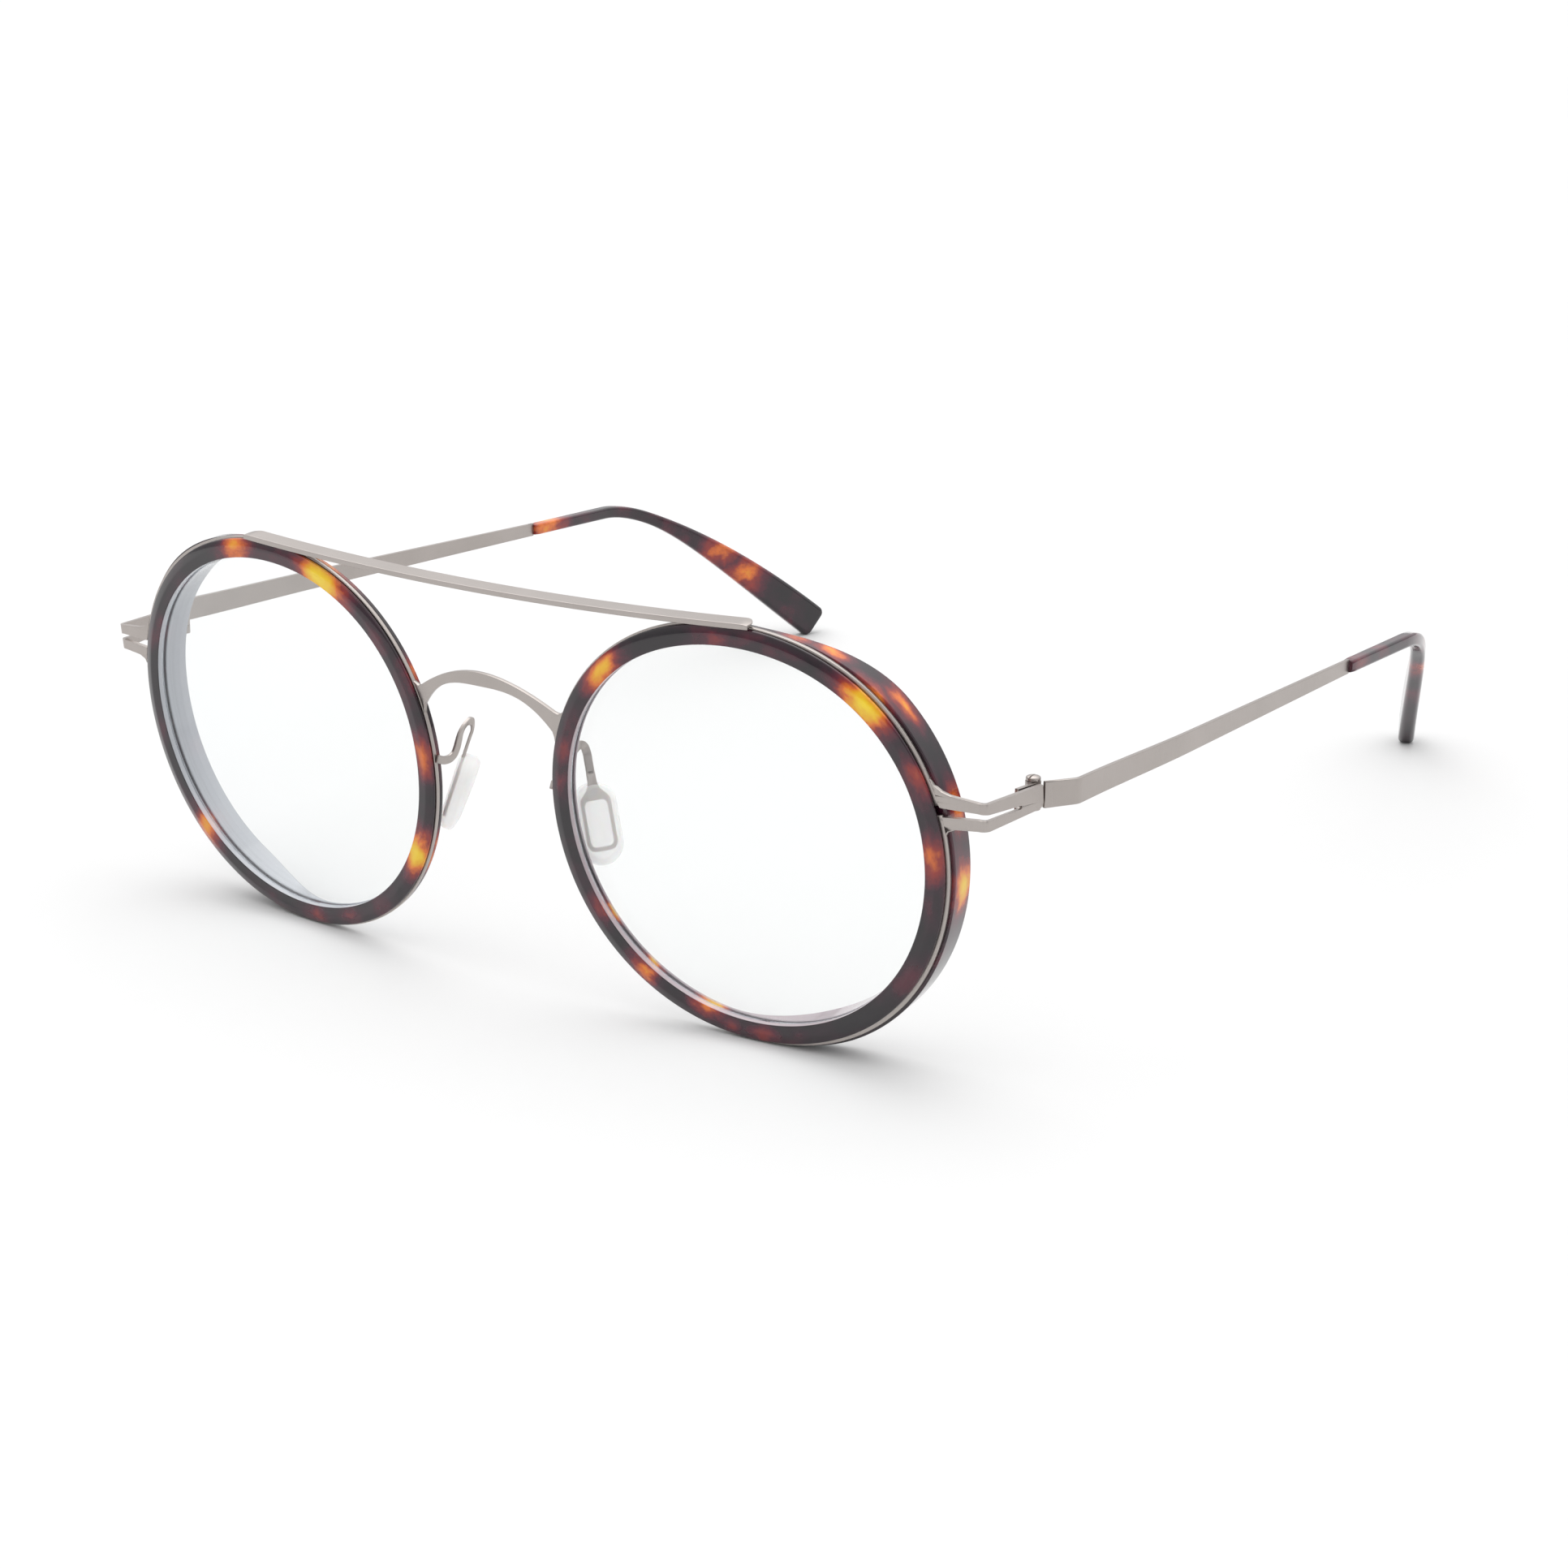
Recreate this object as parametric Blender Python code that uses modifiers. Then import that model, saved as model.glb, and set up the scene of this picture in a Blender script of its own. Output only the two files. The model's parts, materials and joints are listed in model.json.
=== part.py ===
"""Round acetate and sheet-steel eyeglasses with a double bridge, built as an assembly."""

import math

import bmesh
import bpy
import numpy as np
from mathutils import Matrix, Vector

# Lengths are in millimetres, angles in degrees; meshes are scaled to metres.
MM = 0.001
GAP = 0.03                     # clearance between fitted pieces

# Ring outline
RING_X = 35.39                 # lens centre from the middle of the face
WRAP = 3.95                    # each ring turned back towards its temple
OVAL = 0.32
LEAN = 0.17
SQUARE = -0.145
RING_STEPS = 72

# Acetate rim
RIM_INNER = 23.5
RIM_OUTER = 25.9
RIM_CREASE = 24.8
GROOVE_FLOOR = 25.15
REAR_OUTER = (25.98, 26.75)    # thin nasal side, deep temple side
REAR_DEPTH = (1.75, 4.75)
DEEP_TOP = (42.0, 84.0)
DEEP_BOTTOM = (59.0, 100.0)

# Steel rim band
BAND_INNER = 25.2
BAND_OUTER = (26.08, 26.35)   # nose side, temple side
BAND_FRONT = 0.6
SHEET = 0.5
BAND_GAP = (14.9, 17.4)        # opening behind the fork slot

# Lens
LENS_SPHERE = 130.0
LENS_EDGE = 23.45
LENS_BEVEL = 23.83
LENS_THICK = 1.1
LENS_FRONT = 0.55
LENS_RINGS = (0.98, 0.7, 0.36)

# End piece
BEND_START = 30.26
BEND_RADIUS = 1.1
BEND_ANGLE = 80.8
PLATE_END = 41.35
SLOT_END = 37.5
BEND_CUTS = 6

# Hinge
HINGE = (65.85, 13.5, 6.12)
HINGE_TILT = -7.24
BARREL = 0.9
BORE = 0.5
KNUCKLES = 1.63                # half height of the three knuckles
MIDDLE = 0.55                  # half height of the notch for the middle knuckle
LEAF = 0.5
ROUND_STEPS = 20

# Hinge screw
SHANK = 0.45
HEAD = 0.84
HEAD_SIDE = 0.34
HEAD_RISE = 0.3
DRIVE_WIDTH = 0.22
DRIVE_DEPTH = 0.26

# Temple strip, in the hinge frame: x outwards, y along, z up
FLARE = 30.0
STRIP_FACE = 1.47              # outer face from the hinge axis along the flare
STRIP_START = 0.74
STRIP_DRIFT = -0.0297
STRIP_OFFSET = 3.93
STRIP_BOW = 0.6                # the run swells outwards by this past the kink
BOW_SPAN = (5.0, 30.0)
KINK_RADIUS = 2.0
STRIP_Z = 0.27                 # middle of the strip above the hinge middle
STRIP_HALF = (1.52, 0.95)
STRIP_LENGTH = 75.1
CORE_LENGTH = 12.0
CORE_HALF = 0.45

# Temple tip
TIP_START = 75.13
TIP_KNEE = 92.0
TIP_HANDLES = ((-0.3, 9.96, 0.0), (-4.5, 111.6, -6.71), (-12.5, 129.0, -21.5))
TIP_THICK = (0.82, 1.15)
TIP_HALF = (0.86, 0.92, 2.65)

# Nose bridge
BRIDGE_TOP = (14.75, 10.72, 10.9, 1.9)
BRIDGE_LOW = (13.05, 7.35, 10.8, 3.1)
BRIDGE_FRONT = -1.0
BRIDGE_BOW = 1.1
BRIDGE_CUTS = 16

# Brow bar
BAR_HALF = 38.2
BAR_BOW = 1.5
BAR_SAG = 0.8
BAR_WEB = (25.3, 25.97)
BAR_FRONT = -0.1
BAR_BACK = 2.2
BAR_FLANGE = 0.3
BAR_ROUND = 1.5
BAR_STEPS = 20

# Nose pads
PAD_CENTRE = (11.5, 3.88, -4.4)
PAD_DOWN = (0.307, -0.226, -0.924)
PAD_ACROSS = (0.566, 0.825, -0.014)
PLATE_HALF = (3.3, 1.85)
WINDOW_HALF = (2.6, 1.38)
ARM_HALF = 0.5
ARM_SHEET = 0.4
ARM_TURN = (4, 9)              # stations between which the strip turns to face the nose
ARM_RUN = ((8.84, -0.98, 1.85), (8.8, 0.0, 1.35), (8.75, 1.0, 1.22), (8.7, 1.8, 1.5), (8.6, 2.3, 2.2),
           (8.55, 2.7, 3.0), (8.55, 3.15, 3.75), (8.56, 3.85, 4.4), (8.6, 4.85, 4.75), (8.7, 5.6, 4.35))
NECK = (8.4, 7.4, 6.0)         # stations above the middle of the pad
SHOULDER = ((1.3, 0.5), (0.6, 0.78), (0.1, 1.3), (-0.4, 1.75))
PAD_HALF = (5.0, 2.7)
PAD_ROUND = 1.0
PAD_FLAT = 0.35
PAD_BACK = -0.9

STEEL = (0.46, 0.43, 0.41)
ACETATE = (0.09, 0.045, 0.05)
SILICONE = (0.93, 0.93, 0.91)
CLEAR = (0.95, 0.97, 0.97)


def clear_scene():
    for item in list(bpy.data.objects):
        bpy.data.objects.remove(item, do_unlink=True)


def new_collection(name):
    collection = bpy.data.collections.new(name)
    bpy.context.scene.collection.children.link(collection)
    return collection


def finish_mesh(name, bm):
    bmesh.ops.recalc_face_normals(bm, faces=bm.faces)
    mesh = bpy.data.meshes.new(name)
    bm.to_mesh(mesh)
    bm.free()
    return mesh


def loft(name, sections, ring=False):
    """Skin closed sections; a ring joins the last to the first, else both ends are capped."""
    bm = bmesh.new()
    loops = [[bm.verts.new(point) for point in section] for section in sections]
    following = loops[1:] + loops[:1] if ring else loops[1:]
    for first, second in zip(loops, following):
        for k in range(len(first)):
            after = (k + 1) % len(first)
            bm.faces.new((first[k], first[after], second[after], second[k]))
    if not ring:
        bm.faces.new(loops[0])
        bm.faces.new(loops[-1])
    return finish_mesh(name, bm)


def sheet(name, outlines, thickness, bulge=0):
    """Plate from closed outlines, inner ones becoming holes, centred on its own plane."""
    curve = bpy.data.curves.new(name, "CURVE")
    curve.dimensions = "2D"
    curve.fill_mode = "BOTH"
    curve.extrude = thickness / 2
    curve.bevel_depth = bulge
    curve.bevel_resolution = 2
    for outline in outlines:
        spline = curve.splines.new("POLY")
        spline.points.add(len(outline) - 1)
        for point, (x, y) in zip(spline.points, outline):
            point.co = (x, y, 0, 1)
        spline.use_cyclic_u = True
    return curve_mesh(name, curve)


def curve_mesh(name, curve):
    holder = bpy.data.objects.new(name, curve)
    bpy.context.scene.collection.objects.link(holder)
    raw = bpy.data.meshes.new_from_object(holder)
    bpy.data.objects.remove(holder, do_unlink=True)
    bm = bmesh.new()
    bm.from_mesh(raw)
    bmesh.ops.remove_doubles(bm, verts=bm.verts, dist=0.0001)
    return finish_mesh(name, bm)


def slice_mesh(mesh, places):
    """Cut a mesh across at each place along x so it can be bent."""
    bm = bmesh.new()
    bm.from_mesh(mesh)
    for place in places:
        everything = bm.verts[:] + bm.edges[:] + bm.faces[:]
        bmesh.ops.bisect_plane(bm, geom=everything, plane_co=(place, 0, 0), plane_no=(1, 0, 0))
    bm.to_mesh(mesh)
    bm.free()


def bend_mesh(mesh, place):
    for vertex in mesh.vertices:
        vertex.co = place(*vertex.co)


def boxes(name, spans):
    """Separate boxes in one mesh, each given by its low and high corners."""
    bm = bmesh.new()
    for low, high in spans:
        size = Vector(high) - Vector(low)
        middle = (Vector(high) + Vector(low)) / 2
        matrix = Matrix.Translation(middle) @ Matrix.Diagonal((*size, 1))
        bmesh.ops.create_cube(bm, size=1, matrix=matrix)
    return finish_mesh(name, bm)


def circle(radius, steps=ROUND_STEPS):
    turns = [math.tau * k / steps for k in range(steps)]
    return [(radius * math.cos(turn), radius * math.sin(turn)) for turn in turns]


def rounded(half_x, half_y, radius, steps=3):
    """Rectangle outline with rounded corners."""
    points = []
    for corner, (sx, sy) in enumerate(((1, 1), (-1, 1), (-1, -1), (1, -1))):
        for k in range(steps + 1):
            turn = math.radians(90 * (corner + k / steps))
            x = sx * (half_x - radius) + radius * math.cos(turn)
            y = sy * (half_y - radius) + radius * math.sin(turn)
            points.append((x, y))
    return points


def ease(value, start, end):
    share = min(max((value - start) / (end - start), 0), 1)
    return share * share * (3 - 2 * share)


def ring_swell(turn):
    return OVAL * math.cos(2 * turn) + LEAN * math.sin(3 * turn) + SQUARE * math.cos(4 * turn)


def ring_point(radius, turn, depth):
    reach = radius + ring_swell(turn)
    return (reach * math.cos(turn), depth, reach * math.sin(turn))


def ring_turns():
    return [math.tau * k / RING_STEPS for k in range(RING_STEPS)]


def deep_share(turn):
    """How much of the full rim depth is present: all at the temple, none at the nose."""
    angle = math.degrees((turn + math.pi) % math.tau - math.pi)
    if angle >= 0:
        return 1 - ease(angle, *DEEP_TOP)
    return 1 - ease(-angle, *DEEP_BOTTOM)


def band_outer(turn):
    nose, temple = BAND_OUTER
    return nose + deep_share(turn) * (temple - nose)


def rim_section(turn):
    share = deep_share(turn)
    outer = REAR_OUTER[0] + share * (REAR_OUTER[1] - REAR_OUTER[0])
    depth = REAR_DEPTH[0] + share * (REAR_DEPTH[1] - REAR_DEPTH[0])
    front = BAND_FRONT - GAP
    back = BAND_FRONT + SHEET + GAP
    profile = (
        (RIM_INNER, 0.12), (RIM_INNER + 0.12, 0), (RIM_CREASE, -0.08),
        (RIM_OUTER - 0.12, 0.22), (RIM_OUTER, 0.34), (RIM_OUTER, front),
        (GROOVE_FLOOR, front), (GROOVE_FLOOR, back), (outer, back),
        (outer, depth - 0.2), (outer - 0.2, depth), (RIM_INNER + 0.15, depth),
        (RIM_INNER, depth - 0.15), (RIM_INNER, 1.45), (RIM_INNER + 0.4, 1.1), (RIM_INNER, 0.75),
    )
    return [ring_point(radius, turn, y) for radius, y in profile]


def acetate_rim():
    mesh = loft("acetate_rim", [rim_section(turn) for turn in ring_turns()], ring=True)
    return place_ring(mesh)


def ring_matrix():
    return Matrix.Translation((RING_X, 0, 0)) @ Matrix.Rotation(math.radians(WRAP), 4, "Z")


def place_ring(mesh):
    mesh.transform(ring_matrix())
    return mesh


def rim_band():
    """Flat open ring of sheet; its ends run into the two prongs of the end piece."""
    start, end = (math.radians(angle) for angle in BAND_GAP)
    turns = [turn for turn in ring_turns() if not start - 0.02 < turn < end + 0.02]
    turns = [end] + [t for t in turns if t > end] + [t for t in turns if t < start] + [start]
    back = BAND_FRONT + SHEET
    sections = []
    for turn in turns:
        outer = band_outer(turn)
        corners = ((BAND_INNER, BAND_FRONT), (outer, BAND_FRONT), (outer, back), (BAND_INNER, back))
        sections.append([ring_point(radius, turn, y) for radius, y in corners])
    return place_ring(loft("rim_band", sections))


def lens_depth(radius):
    """Depth of the front surface at a distance from the lens centre."""
    return LENS_FRONT - (LENS_EDGE ** 2 - radius ** 2) / (2 * LENS_SPHERE)


def lens_loop(share, behind):
    points = []
    for turn in ring_turns():
        x, _, z = ring_point(LENS_EDGE, turn, 0)
        reach = share * math.hypot(x, z)
        points.append((share * x, lens_depth(reach) + behind, share * z))
    return points


def lens():
    middle = LENS_FRONT + LENS_THICK / 2
    edge = (
        (LENS_EDGE, LENS_FRONT), (LENS_EDGE, middle - 0.28), (LENS_BEVEL, middle),
        (LENS_EDGE, middle + 0.28), (LENS_EDGE, LENS_FRONT + LENS_THICK),
    )
    loops = [lens_loop(share, 0) for share in reversed(LENS_RINGS)]
    loops += [[ring_point(radius, turn, y) for turn in ring_turns()] for radius, y in edge]
    loops += [lens_loop(share, LENS_THICK) for share in LENS_RINGS]
    return place_ring(loft("lens", loops))


def band_edge(height):
    """Distance from the ring centre, towards the temple, of the band's outer edge."""
    turn = math.asin(height / BAND_OUTER[1])
    for _ in range(4):
        turn = math.asin(height / (BAND_OUTER[1] + GAP + ring_swell(turn)))
    return (BAND_OUTER[1] + GAP + ring_swell(turn)) * math.cos(turn)


def end_piece_outline():
    """Two prongs from the band joining into one plate, laid out flat."""
    upper = [(band_edge(z), z) for z in (7.69, 8.4, 9.1, 9.8, 10.5, 11.0)]
    top = [(24.9, 10.2), (25.8, 9.62), (27.0, 9.27), (BEND_START, 8.98), (PLATE_END, 7.76)]
    end = [(PLATE_END, 5.7), (PLATE_END - 0.2, 5.28), (PLATE_END - 0.6, 5.08)]
    bottom = [(BEND_START, 5.7), (27.4, 5.42), (26.5, 5.0)]
    lower = [(band_edge(z), z) for z in (4.45, 5.0, 5.6, 6.2, 6.65)]
    slot = [(BEND_START, 7.0), (SLOT_END - 0.2, 6.26), (SLOT_END, 6.46), (SLOT_END - 0.2, 6.66)]
    return upper + top + end + bottom + lower + slot + [(BEND_START, 7.78)]


def fold_back(along, height, offset):
    """Carry a point of the flat end piece round its bend."""
    angle = math.radians(BEND_ANGLE)
    radius = BEND_RADIUS - (SHEET / 2 - offset)
    turned = min(max(along - BEND_START, 0) / BEND_RADIUS, angle)
    past = along - BEND_START - turned * BEND_RADIUS
    x = min(along, BEND_START) + radius * math.sin(turned)
    y = BAND_FRONT + BEND_RADIUS - radius * math.cos(turned)
    if along > BEND_START:
        x += past * math.cos(angle)
        y += past * math.sin(angle)
    return (x, y, height)


def end_piece():
    mesh = sheet("end_piece", [end_piece_outline()], SHEET)
    length = BEND_RADIUS * math.radians(BEND_ANGLE)
    slice_mesh(mesh, [BEND_START + length * k / BEND_CUTS for k in range(BEND_CUTS + 1)])
    bend_mesh(mesh, fold_back)
    return place_ring(fixed_normals(mesh))


def fixed_normals(mesh):
    bm = bmesh.new()
    bm.from_mesh(mesh)
    bmesh.ops.recalc_face_normals(bm, faces=bm.faces)
    bm.to_mesh(mesh)
    bm.free()
    return mesh


def hinge_matrix():
    return Matrix.Translation(HINGE) @ Matrix.Rotation(math.radians(HINGE_TILT), 4, "X")


def leaf_outline(direction, face, reach):
    """Barrel with a straight leaf running off it, seen along the hinge axis."""
    along = Vector((math.cos(direction), math.sin(direction)))
    out = Vector((along.y, -along.x))
    if out.x < 0:
        out = -out
    facing = math.atan2(out.y, out.x)
    sweep = math.copysign(1, math.sin(direction))
    near = face - LEAF
    outer = math.acos(face / BARREL) if face < BARREL else 0
    inner = math.acos(near / BARREL)
    start = facing + sweep * outer
    arc = [start - sweep * (math.tau - inner + outer) * k / ROUND_STEPS for k in range(ROUND_STEPS + 1)]
    points = [(BARREL * math.cos(turn), BARREL * math.sin(turn)) for turn in arc]
    ends = [near * out + reach * along, face * out + reach * along]
    return points + [tuple(point) for point in ends]


def front_hinge():
    """Leaf on the end piece with a barrel above and below the temple's own."""
    plate = math.radians(BEND_ANGLE + WRAP) - math.pi
    face = BARREL - 0.005
    mesh = sheet("front_hinge", [leaf_outline(plate, face, 3.9), circle(BORE)], 2 * KNUCKLES)
    return mesh


def front_hinge_cutter():
    notch = ((-2, -BARREL - 0.12, -MIDDLE), (2, 2, MIDDLE))
    lower = ((-2, -6, -3), (2, -BARREL - 0.12, -1.15))
    return boxes("front_hinge_cutter", [notch, lower])


def temple_hinge():
    flare = math.radians(90 - FLARE)
    height = 2 * (MIDDLE - GAP)
    face = STRIP_FACE - SHEET - GAP
    face = min(face, BARREL - 0.005)
    return sheet("temple_hinge", [leaf_outline(flare, face, 3.3), circle(BORE)], height)


def hinge_screw():
    low = KNUCKLES + GAP
    profile = ((SHANK, -KNUCKLES - 0.1), (SHANK, low), (HEAD, low), (HEAD, low + HEAD_SIDE))
    dome = [(HEAD * math.cos(math.radians(a)), low + HEAD_SIDE + HEAD_RISE * math.sin(math.radians(a)))
            for a in (25, 50, 72)]
    sections = [[(x, y, z) for x, y in circle(radius)] for radius, z in (*profile, *dome)]
    return loft("hinge_screw", sections)


def drive_cutter():
    top = KNUCKLES + GAP + HEAD_SIDE + HEAD_RISE
    return boxes("hinge_screw_cutter", [((-DRIVE_WIDTH / 2, -1, top - DRIVE_DEPTH), (DRIVE_WIDTH / 2, 1, top + 1))])


def strip_path():
    """Outer face of the temple strip seen from above: flare, rounded kink, long run."""
    flare = math.radians(90 - FLARE)
    ahead = Vector((math.cos(flare), math.sin(flare)))
    out = Vector((ahead.y, -ahead.x))
    start = STRIP_FACE * out + STRIP_START * ahead
    run = Vector((STRIP_DRIFT, 1)).normalized()
    corner_y = (STRIP_OFFSET - start.x + start.y * ahead.x / ahead.y) / (ahead.x / ahead.y - STRIP_DRIFT)
    corner = Vector((STRIP_OFFSET + STRIP_DRIFT * corner_y, corner_y))
    setback = KINK_RADIUS * math.tan(ahead.angle(run) / 2)
    points = [start]
    for k in range(5):
        share = k / 4
        first = corner - ahead * setback * (1 - share)
        second = corner + run * setback * share
        points.append(first.lerp(second, share))
    for y in (9, 14, 19, 24, 30, 45, 60, STRIP_LENGTH):
        points.append(Vector((strip_side(y), y)))
    return points


def strip_side(y):
    """Outer face of the long run, with its slight outward bow."""
    return STRIP_OFFSET + STRIP_DRIFT * y + STRIP_BOW * ease(y, *BOW_SPAN)


def strip_section(path, k):
    before = path[max(k - 1, 0)]
    after = path[min(k + 1, len(path) - 1)]
    along = (after - before).normalized()
    inner = path[k] + Vector((-along.y, along.x)) * SHEET
    share = min(max(path[k].y / STRIP_LENGTH, 0), 1)
    half = STRIP_HALF[0] + share * (STRIP_HALF[1] - STRIP_HALF[0])
    ends = ((path[k], -half), (inner, -half), (inner, half), (path[k], half))
    return [(point.x, point.y, STRIP_Z + z) for point, z in ends]


def core_section(along, shrink):
    """Narrower tail of the strip inside the tip."""
    outer = strip_side(along) - shrink
    inner = outer - SHEET + 2 * shrink
    half = CORE_HALF - shrink
    corners = ((outer, -half), (inner, -half), (inner, half), (outer, half))
    return [(x, along, STRIP_Z + z) for x, z in corners]


def temple():
    path = strip_path()
    sections = [strip_section(path, k) for k in range(len(path))]
    sections.append(core_section(STRIP_LENGTH, 0))
    sections.append(core_section(STRIP_LENGTH + CORE_LENGTH, 0))
    return loft("temple", sections)


def core_cutter():
    far = STRIP_LENGTH + CORE_LENGTH + GAP
    sections = [core_section(TIP_START - 1, -GAP), core_section(far, -GAP)]
    return loft("temple_tip_cutter", sections)


def tip_line():
    """Middle of the tip: straight, then curving down and in behind the ear."""
    straight = [0, 0.25, 0.6, 1]
    line = []
    for share in straight:
        y = TIP_START + share * (TIP_KNEE - TIP_START)
        line.append(Vector((strip_side(y) - SHEET / 2 * (1 - share), y, STRIP_Z)))
    knee = line[-1]
    lead = knee + Vector(TIP_HANDLES[0])
    sweep, end = (Vector(handle) for handle in TIP_HANDLES[1:])
    for k in range(1, 17):
        t = k / 16
        point = (1 - t) ** 3 * knee + 3 * (1 - t) ** 2 * t * lead + 3 * (1 - t) * t * t * sweep + t ** 3 * end
        line.append(point)
    return line


def tip_section(line, k, closing):
    along = (line[min(k + 1, len(line) - 1)] - line[max(k - 1, 0)]).normalized()
    side = along.cross(Vector((0, 0, 1))).normalized()
    rise = side.cross(along)
    share = k / (len(line) - 1)
    bend = ease(share, 0.1, 0.45)
    flare = ease(share, 0.4, 1)
    half = TIP_HALF[0] + bend * (TIP_HALF[1] - TIP_HALF[0]) + flare * (TIP_HALF[2] - TIP_HALF[1])
    thick = TIP_THICK[0] + share * (TIP_THICK[1] - TIP_THICK[0])
    outline = rounded(thick * closing, half * closing, min(thick * 0.7, half * 0.5) * closing)
    return [line[k] + side * x + rise * z for x, z in outline]


def temple_tip():
    line = tip_line()
    last = len(line) - 1
    sections = [tip_section(line, 0, 0.9)]
    sections += [tip_section(line, k, 1) for k in range(1, last + 1)]
    onward = (line[-1] - line[-2]).normalized()
    for step, closing in ((0.5, 0.94), (0.9, 0.8)):
        offset = onward * step
        sections.append([point + offset for point in tip_section(line, last, closing)])
    return loft("temple_tip", sections)


def bridge_height(spec, x):
    middle, side, reach, power = spec
    return middle - (middle - side) * (abs(x) / reach) ** power


def band_side(height):
    """Distance from the middle of the face of the band's nose-side edge."""
    turn = math.pi - math.asin(height / BAND_OUTER[0])
    for _ in range(6):
        turn = math.pi - math.asin(height / (BAND_OUTER[0] + GAP + ring_swell(turn)))
    x = (BAND_OUTER[0] + GAP + ring_swell(turn)) * math.cos(turn)
    return RING_X + x * math.cos(math.radians(WRAP)) - BAND_FRONT * math.sin(math.radians(WRAP))


def bridge_outline():
    top = [(x, bridge_height(BRIDGE_TOP, x)) for x in np.linspace(0, 10.2, 8)]
    end = [(band_side(z), z) for z in (11.4, 10.6, 9.8, 9.0, 8.2, 7.5)]
    low = [(x, bridge_height(BRIDGE_LOW, x)) for x in np.linspace(9.85, 0, 9)]
    half = top + [(10.75, 10.98)] + end + [(10.02, 8.15)] + low
    other = [(-x, z) for x, z in reversed(half[1:-1])]
    return half + other


def bow_bridge(x, height, offset):
    bow = BRIDGE_BOW * (1 - min(abs(x) / 10.8, 1) ** 2)
    return (x, BRIDGE_FRONT + SHEET / 2 - offset - bow, height)


def nose_bridge():
    mesh = sheet("nose_bridge", [bridge_outline()], SHEET)
    slice_mesh(mesh, np.linspace(-10, 10, BRIDGE_CUTS))
    bend_mesh(mesh, bow_bridge)
    return fixed_normals(mesh)


def bar_section(x):
    share = 1 - (x / BAR_HALF) ** 2
    y = BAR_FRONT - BAR_BOW * share
    sag = BAR_SAG * share
    low, high = BAR_WEB
    past = max(abs(x) - BAR_HALF + BAR_ROUND, 0) / BAR_ROUND
    closing = 1 - math.sqrt(1 - 0.95 * past ** 2)
    rear = BAR_BACK - BAR_FRONT
    rear -= closing * (rear - SHEET)
    top = high - 0.2 * closing
    profile = (
        (0, low), (SHEET, low), (SHEET, high - BAR_FLANGE),
        (rear, high - BAR_FLANGE), (rear, top), (0, top),
    )
    return [(x, y + back, z - sag) for back, z in profile]


def brow_bar():
    straight = BAR_HALF - BAR_ROUND
    places = list(np.linspace(-straight, straight, BAR_STEPS + 1))
    ends = [straight + BAR_ROUND * share for share in (0.4, 0.7, 0.9, 1)]
    places = [-x for x in reversed(ends)] + places + ends
    return loft("brow_bar", [bar_section(x) for x in places])


def pad_matrix():
    """Pad frame: x down the pad, y across it, z away from the nose."""
    down = Vector(PAD_DOWN).normalized()
    across = Vector(PAD_ACROSS)
    across = (across - across.dot(down) * down).normalized()
    away = down.cross(across)
    matrix = Matrix((down, across, away)).transposed().to_4x4()
    matrix.translation = PAD_CENTRE
    return matrix


def arm_stations():
    """Middle line and half width of the hooked strip from the band to the neck."""
    place = pad_matrix()
    facing = place.to_3x3() @ Vector((0, 0, 1))
    run = [Vector(point) for point in ARM_RUN]
    run += [place @ Vector((-above, 0, 0)) for above in NECK]
    stations = []
    for k, point in enumerate(run):
        along = run[min(k + 1, len(run) - 1)] - run[max(k - 1, 0)]
        normal = Vector((1, 0, 0)).lerp(facing, ease(k, *ARM_TURN))
        stations.append((point, along.cross(normal).normalized() * ARM_HALF))
    return stations


def pad_arm():
    """Hooked strip from the band down to the window plate that carries the pad."""
    place = pad_matrix()
    turn = place.to_3x3()
    stations = [(point, side, False) for point, side in arm_stations()]
    length, width = PLATE_HALF
    rows = [(-length - above, half, False) for above, half in SHOULDER]
    rows += [(-WINDOW_HALF[0], width, True), (WINDOW_HALF[0], width, False),
             (length - 0.3, width, False), (length, width * 0.86, False)]
    for down, half, window in rows:
        stations.append((place @ Vector((down, 0, 0)), turn @ Vector((0, -half, 0)), window))
    return ribbon("pad_arm", stations)


def ribbon(name, stations):
    """Strip four edges wide; stations marked open leave a window after them."""
    inner = WINDOW_HALF[1] / PLATE_HALF[1]
    bm = bmesh.new()
    rows = [[bm.verts.new(point + side * share) for share in (-1, -inner, inner, 1)]
            for point, side, _ in stations]
    for k in range(len(rows) - 1):
        for column in range(3):
            if stations[k][2] and column == 1:
                continue
            first, second = rows[k], rows[k + 1]
            bm.faces.new((first[column], first[column + 1], second[column + 1], second[column]))
    return finish_mesh(name, bm)


def nose_pad():
    """Soft rounded pad lying on the nose side of its plate."""
    outline = rounded(PAD_HALF[0] - PAD_ROUND, PAD_HALF[1] - PAD_ROUND, 1.7, steps=6)
    mesh = sheet("nose_pad", [outline], 2 * PAD_FLAT, PAD_ROUND)
    mesh.transform(pad_matrix() @ Matrix.Translation((0, 0, PAD_BACK)))
    return mesh


def pad_cutter():
    """Pocket in the pad for the window plate and its neck."""
    length, width = PLATE_HALF
    neck = ARM_HALF + 0.08
    outer = [(length + GAP, width), (length - 0.3, width + GAP), (-length + 0.4, width + GAP)]
    outer += [(-length - above - GAP, half + 0.08) for above, half in reversed(SHOULDER)]
    outer.append((-PAD_HALF[0] - 2, neck))
    outline = outer + [(x, -y) for x, y in reversed(outer)]
    long, wide = (half - GAP for half in WINDOW_HALF)
    window = [(long, wide), (-long, wide), (-long, -wide), (long, -wide)]
    mesh = sheet("nose_pad_cutter", [outline, window], ARM_SHEET + 2 * GAP)
    mesh.transform(pad_matrix())
    return mesh


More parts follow.
